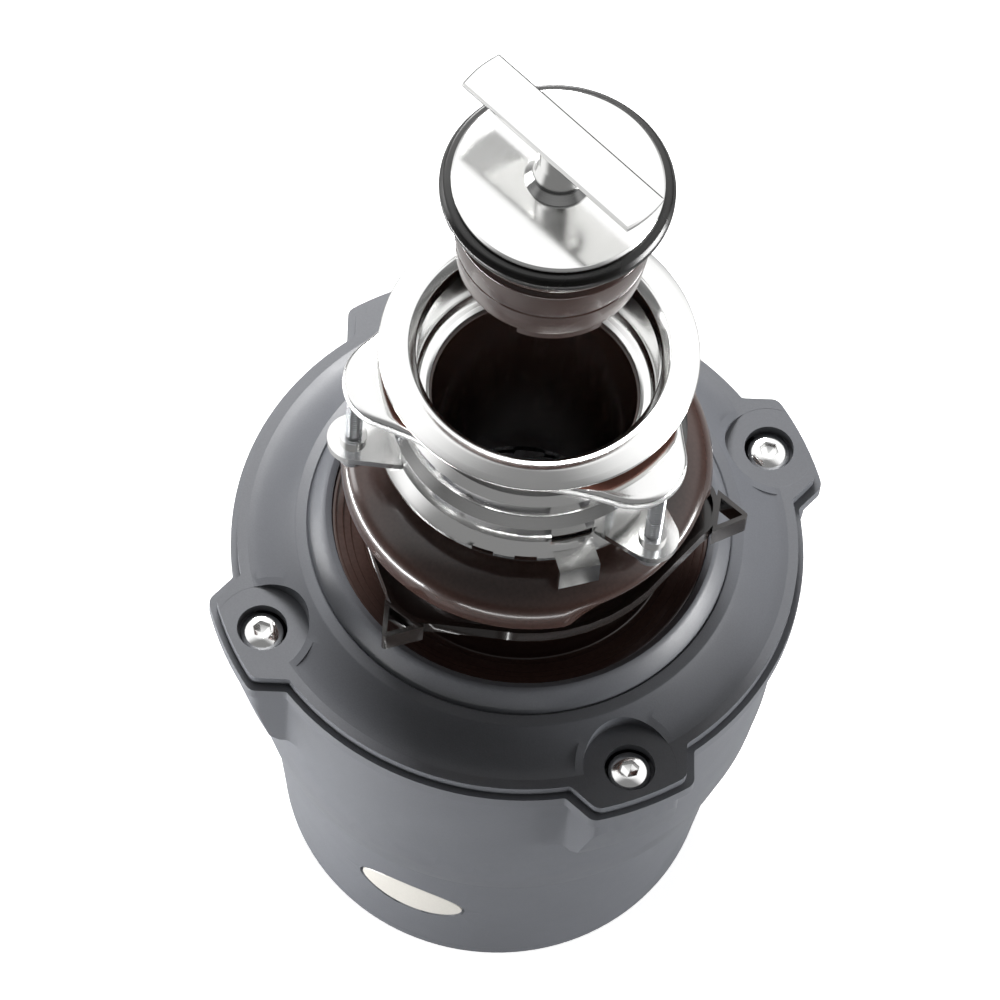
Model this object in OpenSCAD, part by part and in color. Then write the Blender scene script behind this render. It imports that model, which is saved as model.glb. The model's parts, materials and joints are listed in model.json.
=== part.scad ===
// Kitchen food waste disposer with its quick-lock sink mount and its stopper, which is shown lifted off.
// Millimetres. +Z is up, and the origin is the centre of the base. Angles are measured from +X about +Z.

/* [Body shells] */
// Height from the base to the flat rim of the top cover
body_h = 205; // [200:1:215]
// Height of the line where the lower shell meets the upper shell
step_z = 101; // [98:1:104]
// Radius of the lower shell at that line
lower_r = 92.5; // [90:0.5:94]
// Radius of the lower shell just above its rounded base edge
foot_r = 84; // [82:0.5:88]
// Radius of the rounded base edge
foot_round = 20; // [12:1:24]
// Radius of the upper shell at its lower edge
shell_low_r = 96.3; // [95.5:0.1:98]
// Radius of the upper shell under the seam
shell_top_r = 104; // [103:0.5:105]
// Wall of the moulded shells
shell_wall = 3; // [2:0.25:3.5]

/* [Top cover] */
// Outer radius of the flat rim
rim_r = 105; // [104:0.5:107]
// Width of the flat rim
rim_w = 3.8; // [3:0.1:5]
// Outer radius of the raised ring band
band_r = 84; // [82:0.5:86]
// Width of the raised ring band
band_w = 5; // [4:0.5:6]
// Height of the ring band above the rim
band_h = 8.5; // [7:0.5:10]
// Radius of the mouth in the cover
mouth_r = 70.3; // [70:0.1:72]
// Height of the mouth above the rim
mouth_h = 18.5; // [16:0.5:20]
// Height of the outer skirt, from the rim down to the seam
skirt_h = 10; // [9:0.5:12]
// Drop from the flat rim to the outer lip
lip_drop = 4.5; // [3.5:0.5:5.5]
// How far the lip stands out from the flat rim
lip_w = 2.4; // [1.5:0.1:3]
// Wall of the cover
cover_wall = 3; // [2.5:0.25:3.5]

/* [Cover lugs] */
// Angle of the first lug
lug_angle = 28.5; // [20:0.5:32]
// Radius of the flat top of a lug at its outer edge
lug_r = 116; // [115:0.5:118]
// Width of a lug where it leaves the rim
lug_root_w = 47; // [44:1:50]
// Width of a lug at its outer edge
lug_tip_w = 36; // [34:1:40]
// Rounding of the corners of a lug
lug_corner = 4.5; // [3:0.5:6]
// Depth of the boss under a lug, below the seam
lug_depth = 42; // [36:1:48]
// How far the boss leans in over its depth
lug_draft = 8; // [6:0.5:9]
// Radius of the circle of the cover screws
screw_ring_r = 103.3; // [102:0.1:104]
// Radius of the round pocket cut round each screw
pocket_r = 17.3; // [16:0.1:18.5]
// Radius of the recess that holds a screw head
recess_r = 9.4; // [9:0.1:10]
// Depth of that recess
recess_depth = 5; // [4:0.5:6]
// Radius of a cover screw's head
screw_head_r = 8.2; // [7.5:0.1:8.6]
// Radius of a cover screw's shank
screw_r = 3; // [2.5:0.1:3.5]

/* [Sink flange] */
// Height of the sink flange above the rim of the cover
flange_rise = 142; // [138:1:150]
// Outer radius of the sink flange
flange_r = 57.15; // [56:0.05:58]
// Height of the flange's raised crown over its outer edge
flange_crown = 2.6; // [2:0.1:3]
// Outer radius of the sleeve, which fits a 3.5 inch sink opening
sleeve_r = 44.45; // [44:0.05:44.5]
// Wall of the sleeve
sleeve_wall = 1.3; // [1:0.1:1.6]
// Length of the sleeve below the crown
sleeve_l = 55; // [52:1:56]
// Depth of the stopper's seat below the crown
seat_depth = 31; // [28:1:34]
// Radius of the throat inside the seat
throat_r = 37.8; // [37.5:0.1:38.5]
// Thickness of the fibre gasket under the flange
gasket_t = 1.6; // [1:0.1:2]

/* [Backup flange and mounting ring] */
// Depth of the backup flange's top below the crown
backup_depth = 9.5; // [9:0.5:12]
// Thickness of the backup flange
backup_t = 5.2; // [4:0.2:6]
// Radius of the tip of a lobe
lobe_r = 70.5; // [69.5:0.5:72]
// Rounding of a lobe
lobe_round = 19; // [17:0.5:21]
// Angle of the first lobe, screw and ear
lobe_angle = 76; // [70:1:82]
// Radius of the circle of the mounting screws
bolt_ring_r = 65.5; // [65:0.1:66]
// Radius of a mounting screw
bolt_r = 3.1; // [2.8:0.1:3.4]
// Outer radius of the mounting ring's lower rim
mount_rim_r = 56.5; // [56:0.1:57.5]
// Height of the mounting ring
mount_ring_h = 36; // [34:1:37]
// Sheet thickness of the mounting ring
mount_sheet = 1.6; // [1.4:0.1:2]
// Radius of the rounded end of an ear
ear_round = 9.5; // [9:0.5:10.5]

/* [Rubber mount and locking ring] */
// Outer radius of the rubber dome
dome_r = 68; // [67:0.5:69]
// Height of the rubber dome with its sealing lip
dome_h = 32; // [31:1:34]
// Height of the sealing lip above the dome
dome_lip_h = 13; // [12:1:15]
// Outer radius of the rubber neck
neck_r = 50; // [49:0.5:51]
// Height of the locking ring above the mouth
lock_rise = 18; // [16:1:20]
// Thickness of the locking ring
lock_t = 6; // [5:0.5:7]
// Outer radius of the locking ring between its corners
lock_r = 63; // [62:0.5:64]
// Radius of the locking ring's rounded corners
lock_corner_r = 72; // [71:0.5:73]
// Angle of the first corner and wrench loop
lock_angle = -123; // [-126:1:-118]
// How far a wrench loop stands out from its corner
loop_reach = 12; // [11:0.5:13]
// Height of a wrench loop
loop_h = 10; // [8:0.5:11]
// Wall of a wrench loop
loop_wall = 1.5; // [1.2:0.1:1.6]

/* [Stopper] */
// How far the stopper is lifted off its seat
stopper_lift = 133; // [40:1:160]
// Radius of the rubber seal bead
bead_r = 40.2; // [39.5:0.1:41]
// Radius of the polished disc
disc_r = 36.5; // [35:0.5:37]
// Radius of the plug body at its top
plug_r = 36.2; // [35:0.1:36.4]
// Radius of the plug body at its bottom
plug_low_r = 32.5; // [31:0.5:34]
// Length of the plug body below the bead
plug_l = 40; // [36:1:44]
// Length of the handle bar
handle_l = 80; // [76:1:84]
// Width of the handle bar
handle_w = 17.5; // [16:0.5:19]
// Thickness of the handle bar
handle_t = 3; // [2.5:0.25:4]
// Height of the handle's top over the disc
handle_rise = 24; // [22:1:26]
// Angle of the handle bar
handle_angle = -40; // [-60:1:-20]

/* [Grinding chamber] */
// Inner radius of the steel chamber
chamber_r = 70; // [69:0.5:71]
// Sheet thickness of the chamber
chamber_wall = 1.2; // [1:0.1:1.4]
// Height of the turntable's top
table_z = 152; // [151:0.5:153]
// Width of the grind ring between the turntable and the chamber
ring_w = 4.2; // [4:0.1:5]
// Thickness of the turntable
table_t = 3; // [2.5:0.25:3.5]
// Height of the grind ring
grind_h = 24; // [22:1:25]
// Count of teeth on the grind ring
grind_teeth = 28; // [20:1:36]
// Radius of the circle of the impeller pins
pin_ring_r = 40; // [38:1:42]
// Radius of an impeller pin
pin_r = 4; // [3.5:0.25:4.5]
// Length of an impeller from its pin to its nose
impeller_l = 17; // [15:0.5:18]
// Height of an impeller
impeller_h = 13; // [11:0.5:14]

/* [Motor] */
// Outer radius of the stator
stator_r = 70; // [68:0.5:71]
// Outer radius of the rotor
rotor_r = 36; // [34:0.5:38]
// Air gap between rotor and stator
air_gap = 0.5; // [0.4:0.1:0.8]
// Height of the stator's underside
stator_z = 47; // [46:0.5:49]
// Length of the stator stack
stack_l = 43; // [40:1:44]
// Count of slots in the stator
stator_slots = 24; // [12:2:30]
// Radius of the shaft
shaft_r = 8; // [7:0.25:9]
// Radial running clearance of the shaft in its bearings
run_clear = 0.04; // [0.02:0.01:0.08]

/* [Outlets and terminals] */
// Outer radius of the discharge outlet
outlet_r = 19.05; // [18:0.05:20]
// Wall of the discharge outlet
outlet_wall = 2.4; // [2:0.1:3]
// Height of the outlet's axis
outlet_z = 128; // [127:0.5:129]
// Distance of the outlet's end from the body's axis
outlet_end = 130; // [126:1:140]
// Outer radius of the dishwasher inlet
inlet_r = 11.1; // [10.5:0.1:11.2]
// Wall of the dishwasher inlet
inlet_wall = 1.6; // [1.4:0.1:2]
// Height of the inlet's axis
inlet_z = 178.5; // [178:0.5:179]
// Distance of the inlet's end from the body's axis
inlet_end = 126; // [122:1:132]
// Radius of the cable entry in the base
entry_r = 11.1; // [10:0.1:12]
// Distance of the cable entry from the axis
entry_y = 44; // [42:1:46]
// Radius of the reset button
button_r = 5; // [4:0.5:6]
// Travel of the reset button
button_travel = 3; // [2:0.5:3.5]
// Distance of the reset button from the axis
button_x = 40; // [38:1:42]

/* [Badge] */
// Width of the oval badge
badge_w = 42; // [32:1:46]
// Height of the oval badge
badge_h = 24; // [20:1:26]
// Angle of the badge round the body
badge_angle = -108; // [-120:1:-100]
// Tilt of the badge in its own plane
badge_tilt = 0; // [-6:1:12]
// Height of the badge's centre
badge_z = 62; // [58:1:64]

/* [Hidden] */
$fn = 96;

// Clearances and overruns
// Gap between two pieces that rest on each other with curved faces
seat_gap = 0.3;
// Gap between a piece and the close fit that carries it
fit_gap = 0.05;
// Overrun of every cut
over = 1;
// Small rounding of sheet and moulded edges
edge = 1.2;
// Steps along a curved stretch of an outline
curve_steps = 8;

// Heights of the stack
seam_z = body_h - skirt_h;
inlet_root_r = inlet_r + inlet_wall;
mouth_z = body_h + mouth_h;
crown_z = body_h + flange_rise;
seat_z = crown_z - seat_depth;
sleeve_z = crown_z - sleeve_l;
backup_z = crown_z - backup_depth - backup_t;
mount_top_z = backup_z - 4 * edge;
mount_rim_z = mount_top_z - mount_ring_h;
dome_top_z = mount_rim_z - seat_gap;
dome_z = dome_top_z - dome_h;
lock_z = mouth_z + lock_rise;
ear_z = mount_rim_z + 3 * mount_sheet;

// Angles that the lobes, lugs and corners share
lobe_angles = [for (i = [0:2]) lobe_angle + 120 * i];
lug_angles = [for (i = [0:3]) lug_angle + 90 * i];
lock_angles = [for (i = [0:2]) lock_angle + 120 * i];

// Colours
shell_grey = [0.38, 0.39, 0.41];
steel = [0.80, 0.81, 0.82];
bright = [0.90, 0.90, 0.91];
rubber = [0.13, 0.10, 0.09];
black = [0.08, 0.08, 0.08];
cast_grey = [0.55, 0.56, 0.57];
copper = [0.72, 0.42, 0.24];
foam = [0.30, 0.31, 0.33];
red = [0.75, 0.12, 0.10];
fibre = [0.55, 0.30, 0.22];
brass = [0.72, 0.60, 0.30];

// A point at a radius and an angle
function at(r, a) = [r * cos(a), r * sin(a)];

// Points on an arc
function arc(c, r, a0, a1, steps = curve_steps) =
    [for (i = [0:steps]) c + at(r, a0 + (a1 - a0) * i / steps)];

// The shorter turn from one angle to another
function turn(a0, a1) = (a1 - a0) - 360 * floor((a1 - a0 + 180) / 360);

// The arc that rounds the corner p1 between p0 and p2
function corner(p0, p1, p2, r, steps) =
    let (
        u = (p0 - p1) / norm(p0 - p1),
        v = (p2 - p1) / norm(p2 - p1),
        half = acos(max(-1, min(1, u * v))) / 2,
        c = p1 + (u + v) / norm(u + v) * r / sin(half),
        s = p1 + u * r / tan(half) - c,
        e = p1 + v * r / tan(half) - c,
        a = atan2(s.y, s.x)
    )
    r == 0 ? [p1] : arc(c, r, a, a + turn(a, atan2(e.y, e.x)), steps);

// A closed outline with every corner rounded by its own radius
function rounded(pts, radii, steps = 5) =
    let (n = len(pts))
    [for (i = [0:n - 1]) each corner(pts[(i + n - 1) % n], pts[i], pts[(i + 1) % n], radii[i], steps)];

// A curve from p to q whose height follows the given power of its run
function sweep(p, q, power, steps = curve_steps) =
    [for (i = [0:steps]) [p.x + (q.x - p.x) * i / steps, p.y + (q.y - p.y) * pow(i / steps, power)]];

// A straight tube
module tube(r_out, r_in, z0, z1) {
    difference() {
        translate([0, 0, z0]) cylinder(r = r_out, h = z1 - z0);
        translate([0, 0, z0 - over]) cylinder(r = r_in, h = z1 - z0 + 2 * over);
    }
}

// A shape turned about +Z from a profile of radius and height
module turned(profile) {
    rotate_extrude() polygon(profile);
}

// Copies of the children at the given angles
module around(angles) {
    for (a = angles) rotate([0, 0, a]) children();
}

// STOPPER
bead_rest_z = seat_z + seat_gap + stopper_lift;
bead_h = 7;
bead_z = bead_rest_z + bead_h;
disc_t = 2;
disc_z = bead_z + disc_t;
plug_groove = 1.4;
stem_r = 7.5;
stem_base_r = 12;
key_span = 56;
key_angle = -78;
key_h = 5;
magnet_r = 5;
magnet_h = 8;
plug_wall = 3;
rib_angles = [45, 165, 285];

// The flat bar, with ends that follow a circle round its centre
module stopper_handle() {
    color(bright)
    translate([0, 0, disc_z + handle_rise - handle_t])
    rotate([0, 0, handle_angle])
    intersection() {
        translate([-handle_l / 2, -handle_w / 2, 0]) cube([handle_l, handle_w, handle_t]);
        cylinder(r = handle_l / 2, h = handle_t);
    }
}

// The stem, flared at its foot
module stopper_stem() {
    stem_h = handle_rise - handle_t;
    color(bright)
    translate([0, 0, disc_z])
    turned(concat(
        [[0, 0]],
        sweep([stem_base_r, 0], [stem_r, stem_h * 0.35], 1.8),
        [[stem_r, stem_h], [0, stem_h]]
    ));
}

// The polished disc, with a small turned-down edge
module stopper_disc() {
    color(bright)
    translate([0, 0, bead_z])
    turned([[0, 0], [disc_r - edge, 0], [disc_r, edge], [disc_r - edge / 2, disc_t], [0, disc_t]]);
}

// The hollow plug: two grooves under the bead, a taper, a rounded foot, ribs inside and the key tab
module stopper_body() {
    top = bead_rest_z + bead_h - fit_gap;
    foot = bead_rest_z - plug_l;
    hub_r = stem_base_r;
    function wall_r(z) = plug_low_r + (plug_r - plug_low_r) * (z - foot) / (bead_rest_z - foot);
    color(rubber) {
        difference() {
            turned(concat(
                [[0, foot + key_h], [plug_low_r - plug_wall, foot + key_h], [plug_low_r - plug_wall, foot]],
                [[plug_low_r - edge, foot], [plug_low_r, foot + edge]],
                [for (i = [0:2])
                    let (z = foot + (bead_rest_z - foot) * (0.30 + 0.22 * i))
                    each [
                        [wall_r(z), z], [wall_r(z) - plug_groove, z + plug_groove],
                        [wall_r(z) - plug_groove, z + 2 * plug_groove], [wall_r(z), z + 3 * plug_groove]
                    ]
                ],
                [[plug_r, bead_rest_z], [plug_r, top], [0, top]]
            ));
            tube(plug_low_r - 2 * plug_wall, hub_r, foot, bead_rest_z - plug_wall);
            around(rib_angles)
            translate([(hub_r + plug_low_r - 2 * plug_wall) / 2, 0, foot])
            cylinder(r = magnet_r + fit_gap, h = bead_rest_z - foot);
        }
        around([for (a = rib_angles) a + 60])
        translate([hub_r - edge, -plug_wall / 2, foot + key_h])
        cube([
            plug_low_r - 2 * plug_wall - hub_r + 2 * edge,
            plug_wall,
            bead_rest_z - plug_wall - foot - key_h
        ]);
        rotate([0, 0, key_angle - key_span / 2])
        rotate_extrude(angle = key_span)
        translate([plug_low_r - plug_wall - edge, foot - key_h])
        square([plug_wall, key_h + edge]);
    }
}

// The soft bead that seals on the seat
module stopper_seal() {
    bead_round = bead_h / 2;
    color(black)
    turned(concat(
        [[plug_r + fit_gap, bead_rest_z]],
        arc([bead_r - bead_round, bead_rest_z + bead_round], bead_round, -90, 90, 2 * curve_steps),
        [[plug_r + fit_gap, bead_rest_z + bead_h]]
    ));
}

// Three magnets in the plug, which close the switch when the stopper is home
module stopper_magnets() {
    foot = bead_rest_z - plug_l;
    color(steel)
    around(rib_angles)
    translate([(stem_base_r + plug_low_r - 2 * plug_wall) / 2, 0, bead_rest_z - magnet_h])
    cylinder(r = magnet_r, h = magnet_h);
}

// SINK MOUNT
flange_edge_t = 1.4;
lip_round = 2.2;
screw_head_t = 3.5;
mount_bore_r = sleeve_r + seat_gap;
snap_wire_r = 1.5;
tab_angle = -69;
tab_w = 15;
tab_reach = 7;
tab_drop = 12;
notch_w = 8;
notch_d = 4;

// The pressed sink flange, its sleeve and the inward shelf that the stopper seats on
module sink_flange() {
    edge_z = crown_z - flange_crown;
    in_r = sleeve_r - sleeve_wall;
    color(bright)
    turned(concat(
        [[sleeve_r, sleeve_z], [sleeve_r, edge_z - lip_round]],
        [[sleeve_r + lip_round, edge_z - flange_edge_t], [flange_r - edge, edge_z - flange_edge_t]],
        [[flange_r, edge_z - flange_edge_t / 2], [flange_r - edge / 2, edge_z]],
        sweep([flange_r - 2 * edge, edge_z + edge / 2], [in_r + 4 * lip_round, crown_z], 0.6),
        arc([in_r + lip_round, crown_z - lip_round], lip_round, 90, 180),
        [[in_r, seat_z + lip_round], [in_r - lip_round / 2, seat_z], [throat_r + edge, seat_z]],
        [[throat_r, seat_z - edge], [throat_r, seat_z - 2 * edge], [in_r, seat_z - 2 * edge], [in_r, sleeve_z]]
    ));
}

// The fibre washer that seals the flange on the sink
module flange_gasket() {
    top = crown_z - flange_crown - flange_edge_t;
    color(fibre) tube(flange_r - edge / 2, sleeve_r + lip_round, top - gasket_t, top);
}

// The outline of a plate with three rounded lobes joined by straight edges
module lobed(tip_r, round_r, waist_r) {
    centre_r = tip_r - round_r;
    tangent = [for (a = lobe_angles) each arc(at(centre_r, a), round_r, a - 60, a + 60, 2 * curve_steps)];
    polygon(tangent);
    circle(r = waist_r);
}

// The cast three-lobed backup flange, with a raised hub round the sleeve
module backup_flange() {
    step = backup_t / 4;
    waist_r = sleeve_r + backup_t;
    color(bright)
    difference() {
        union() {
            translate([0, 0, backup_z]) linear_extrude(backup_t - step) lobed(lobe_r, lobe_round, waist_r);
            translate([0, 0, backup_z + backup_t - step - fit_gap])
            linear_extrude(step + fit_gap)
            lobed(lobe_r - edge, lobe_round - edge, waist_r - edge);
        }
        translate([0, 0, backup_z - over]) cylinder(r = sleeve_r + seat_gap, h = backup_t + 2 * over);
        for (a = lobe_angles) rotate([0, 0, a])
        translate([bolt_ring_r, 0, backup_z - over])
        cylinder(r = bolt_r + fit_gap, h = over + backup_t / 4);
    }
}

// The three screws that press the backup flange up against the sink
module mounting_screws() {
    top = backup_z + backup_t / 4 - fit_gap;
    low = ear_z - 2 * screw_head_t;
    color(steel)
    around(lobe_angles)
    translate([bolt_ring_r, 0, 0])
    difference() {
        union() {
            translate([0, 0, low]) cylinder(r = bolt_r, h = top - low);
            translate([0, 0, low - screw_head_t]) cylinder(r = 1.7 * bolt_r, h = screw_head_t);
        }
        translate([-2 * bolt_r, -bolt_r / 5, low - screw_head_t - over])
        cube([4 * bolt_r, 2 * bolt_r / 5, over + screw_head_t / 2]);
    }
}

// The stamped mounting ring: ridged collar, lower rim, three ears, notches and one folded tab
module mounting_ring() {
    s = mount_sheet;
    collar_r = mount_bore_r + s;
    low = mount_rim_z;
    h = mount_ring_h;
    ridge_1 = collar_r + 2 * s;
    ridge_2 = collar_r + 3.5 * s;
    color(bright)
    difference() {
        union() {
            turned(concat(
                [[collar_r, low + h], [collar_r, low + 0.80 * h], [ridge_1, low + 0.74 * h]],
                [[ridge_1, low + 0.56 * h], [ridge_1 - s / 2, low + 0.50 * h], [ridge_2, low + 0.40 * h]],
                [[ridge_2, low + 3.4 * s], [mount_rim_r - s, low + 2 * s]],
                [[mount_rim_r, low + s], [mount_rim_r, low]],
                [[mount_rim_r - s, low], [mount_rim_r - 2 * s, low + s], [ridge_2 - s, low + 2.4 * s]],
                [[ridge_2 - s, low + 0.38 * h], [ridge_1 - 1.5 * s, low + 0.49 * h]],
                [[ridge_1 - s, low + 0.58 * h], [ridge_1 - s, low + 0.72 * h], [mount_bore_r, low + 0.79 * h]],
                [[mount_bore_r, low + h]]
            ));
            around(lobe_angles)
            difference() {
                union() {
                    translate([0, 0, ear_z])
                    linear_extrude(2 * s)
                    polygon(concat(
                        [[ridge_2 - s, ear_round * 1.5]],
                        arc([bolt_ring_r, 0], ear_round, 70, -70, 2 * curve_steps),
                        [[ridge_2 - s, -ear_round * 1.5]]
                    ));
                    translate([bolt_ring_r, 0, ear_z]) cylinder(r = 1.6 * bolt_r, h = 3.5 * s);
                }
                translate([bolt_ring_r, 0, ear_z - over]) cylinder(r = bolt_r + fit_gap, h = 4 * s + 2 * over);
            }
            rotate([0, 0, tab_angle]) {
                translate([mount_rim_r - 2 * s, -tab_w / 2, low + s]) cube([tab_reach + 2 * s, tab_w, s]);
                translate([mount_rim_r + tab_reach - s, -tab_w / 2, low + 2 * s - tab_drop])
                cube([s, tab_w, tab_drop]);
            }
        }
        around([tab_angle - 18, tab_angle + 22, tab_angle + 34, tab_angle - 34])
        translate([ridge_2 - 2 * s, -notch_w / 2, low - over])
        cube([mount_rim_r, notch_w, notch_d / 2 + over]);
        around([tab_angle, tab_angle + 120, tab_angle + 240])
        translate([ridge_1 - 2 * s, -tab_w / 2, low + 3.2 * s])
        cube([5 * s, tab_w, notch_d]);
    }
}

// The open spring ring in the sleeve's groove, which holds the mounting ring up
module snap_ring() {
    color(steel)
    translate([0, 0, mount_rim_z + 0.79 * mount_ring_h - 2.2 * snap_wire_r])
    rotate([0, 0, lobe_angle + 60])
    rotate_extrude(angle = 345)
    translate([sleeve_r + snap_wire_r + fit_gap, 0])
    circle(r = snap_wire_r, $fn = 16);
}

// RUBBER MOUNT
dome_edge = 5;
dome_wall = 6;
neck_bore_r = throat_r - 1;
collar_top_z = seat_z - 2 * edge - seat_gap;
skirt_step = 1.4;
skirt_r = mouth_r - seat_gap;
skirt_drop = 9;
skirt_z = mouth_z - skirt_drop;
skirt_t = 6;
sleeve_grip_t = 4;
sleeve_grip_h = 8;
clamp_lug_w = 10;
dish_start_a = -66;
dish_cut_a = 56;

// The rubber dome under the mounting ring, with the collar that lines the sleeve
module mount_dome() {
    cap = [dome_r, dome_z + dome_edge];
    shoulder = [neck_r - edge / 2, dome_top_z - dome_lip_h];
    liner_r = sleeve_r - sleeve_wall - seat_gap;
    color(rubber)
    difference() {
        turned(concat(
            [[neck_bore_r, dome_z], [neck_bore_r, collar_top_z], [liner_r, collar_top_z]],
            [[liner_r, sleeve_z - seat_gap], [liner_r + edge, dome_top_z], [shoulder.x - edge, dome_top_z]],
            [[shoulder.x, dome_top_z - edge], shoulder],
            [for (i = [1:curve_steps])
                let (a = 90 * i / curve_steps)
                [shoulder.x + (cap.x - shoulder.x) * sin(a), cap.y + (shoulder.y - cap.y) * pow(cos(a), 0.8)]],
            [[dome_r, dome_z + edge], [dome_r - edge, dome_z], [dome_r - dome_edge, dome_z]],
            [[neck_r + 2 * edge, dome_z + dome_edge]],
            [[neck_r, dome_z + dome_edge / 2], [neck_r, dome_z]]
        ));
        rotate([0, 0, dish_start_a])
        rotate_extrude(angle = dish_cut_a)
        translate([lock_r - edge, dome_z - over])
        square([dome_r, dome_edge + 2 * over]);
    }
}

// The rubber mount: stepped skirt in the mouth, bellows neck and the shoulder under the locking ring
module vibration_mount() {
    top = dome_z - fit_gap;
    shoulder_z = lock_z - seat_gap;
    grip_r = chamber_neck_r + sleeve_grip_t;
    color(rubber)
    turned([
        [neck_bore_r, skirt_z - skirt_t], [neck_bore_r, top], [neck_r, top],
        [neck_r, shoulder_z], [neck_r + 1.4 * skirt_t, shoulder_z],
        [neck_r + 1.4 * skirt_t, shoulder_z - skirt_t / 2],
        [neck_r + edge, shoulder_z - skirt_t], [neck_r - 2 * edge, shoulder_z - 1.4 * skirt_t],
        [neck_r + edge, shoulder_z - 2 * skirt_t],
        [neck_r + skirt_t, skirt_z], [skirt_r - 8 * skirt_step, skirt_z],
        [skirt_r - 8 * skirt_step, skirt_z + skirt_step], [skirt_r - 5 * skirt_step, skirt_z + skirt_step],
        [skirt_r - 5 * skirt_step, skirt_z + 2 * skirt_step],
        [skirt_r - 3 * skirt_step, skirt_z + 2 * skirt_step],
        [skirt_r - 3 * skirt_step, skirt_z + 3.2 * skirt_step],
        [skirt_r - skirt_step, skirt_z + 3.2 * skirt_step],
        [skirt_r - skirt_step, skirt_z + 4.6 * skirt_step], [skirt_r, skirt_z + 4.6 * skirt_step],
        [skirt_r, skirt_z - skirt_t / 2], [grip_r + 2 * edge, skirt_z - skirt_t / 2],
        [grip_r, skirt_z - skirt_t], [grip_r, skirt_z - skirt_t - sleeve_grip_h],
        [chamber_neck_r + fit_gap, skirt_z - skirt_t - sleeve_grip_h],
        [chamber_neck_r + fit_gap, skirt_z - skirt_t]
    ]);
}

// The locking ring: a plate with three rounded corners, a flanged edge and three open wrench loops
module locking_ring() {
    bore_r = neck_r + seat_gap;
    corner_round = 16;
    rim_t = 2;
    plate_t = 2.5;
    loop_w = 18;
    function plate(inset) = [
        for (a = lock_angles) each concat(
            arc(at(lock_corner_r - corner_round, a), corner_round - inset, a - 45, a + 45, curve_steps),
            arc([0, 0], lock_r - inset, a + 28, a + 92, curve_steps)
        )
    ];
    tip = [lock_corner_r + loop_reach, 0];
    base = lock_corner_r - edge;
    outer_loop = [[base, -loop_w / 2], tip, [base, loop_w / 2]];
    color(rubber)
    difference() {
        union() {
            translate([0, 0, lock_z]) linear_extrude(plate_t) polygon(plate(0));
            translate([0, 0, lock_z])
            linear_extrude(lock_t)
            difference() {
                polygon(plate(0));
                polygon(plate(rim_t));
            }
            translate([0, 0, lock_z]) cylinder(r = bore_r + rim_t, h = lock_t);
            around(lock_angles)
            translate([0, 0, lock_z + lock_t - loop_h])
            linear_extrude(loop_h)
            polygon(rounded(outer_loop, [0, loop_wall, 0]));
        }
        translate([0, 0, lock_z - over]) cylinder(r = bore_r, h = lock_t + 2 * over);
        around(lock_angles)
        translate([0, 0, lock_z + lock_t - loop_h - over])
        linear_extrude(loop_h + 2 * over)
        polygon([
            [base + loop_wall, -loop_w / 2 + 2.2 * loop_wall],
            [tip.x - 2 * loop_wall, 0],
            [base + loop_wall, loop_w / 2 - 2.2 * loop_wall]
        ]);
    }
}

// The steel band that clamps the rubber mount on the chamber's neck
module mount_clamp() {
    in_r = chamber_neck_r + sleeve_grip_t + fit_gap;
    low = skirt_z - skirt_t - sleeve_grip_h + edge;
    color(steel) {
        tube(in_r + edge, in_r, low, low + sleeve_grip_h - 3 * edge);
        translate([-clamp_lug_w / 2, in_r + edge - fit_gap, low])
        cube([clamp_lug_w, clamp_lug_w / 2, sleeve_grip_h - 3 * edge]);
    }
}

// COVER AND SHELLS
rim_in_r = rim_r - rim_w;
band_in_r = band_r - band_w;
lug_boss_r = lug_r + lip_w - edge;
seal_t = 1;
screw_bite = 18;

// The plan of one lug, grown by the given amount
function lug_plan(grow) =
    let (
        root = lug_root_w / 2 + grow,
        tip = lug_tip_w / 2 + grow,
        out = lug_r + grow,
        start_r = rim_r + grow,
        root_a = asin(root / start_r),
        tip_a = asin(tip / out)
    )
    rounded(
        concat(
            [at(start_r - rim_w, -root_a - 8), at(start_r, -root_a)],
            [for (i = [0:curve_steps]) at(out, -tip_a + 2 * tip_a * i / curve_steps)],
            [at(start_r, root_a), at(start_r - rim_w, root_a + 8)]
        ),
        concat([0, lug_corner, lug_corner], [for (i = [2:curve_steps]) 0], [lug_corner, lug_corner, 0])
    );

// The plan of the rim with its lugs
module rim_plan(grow) {
    circle(r = rim_r + grow);
    around(lug_angles) polygon(lug_plan(grow));
}

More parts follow.
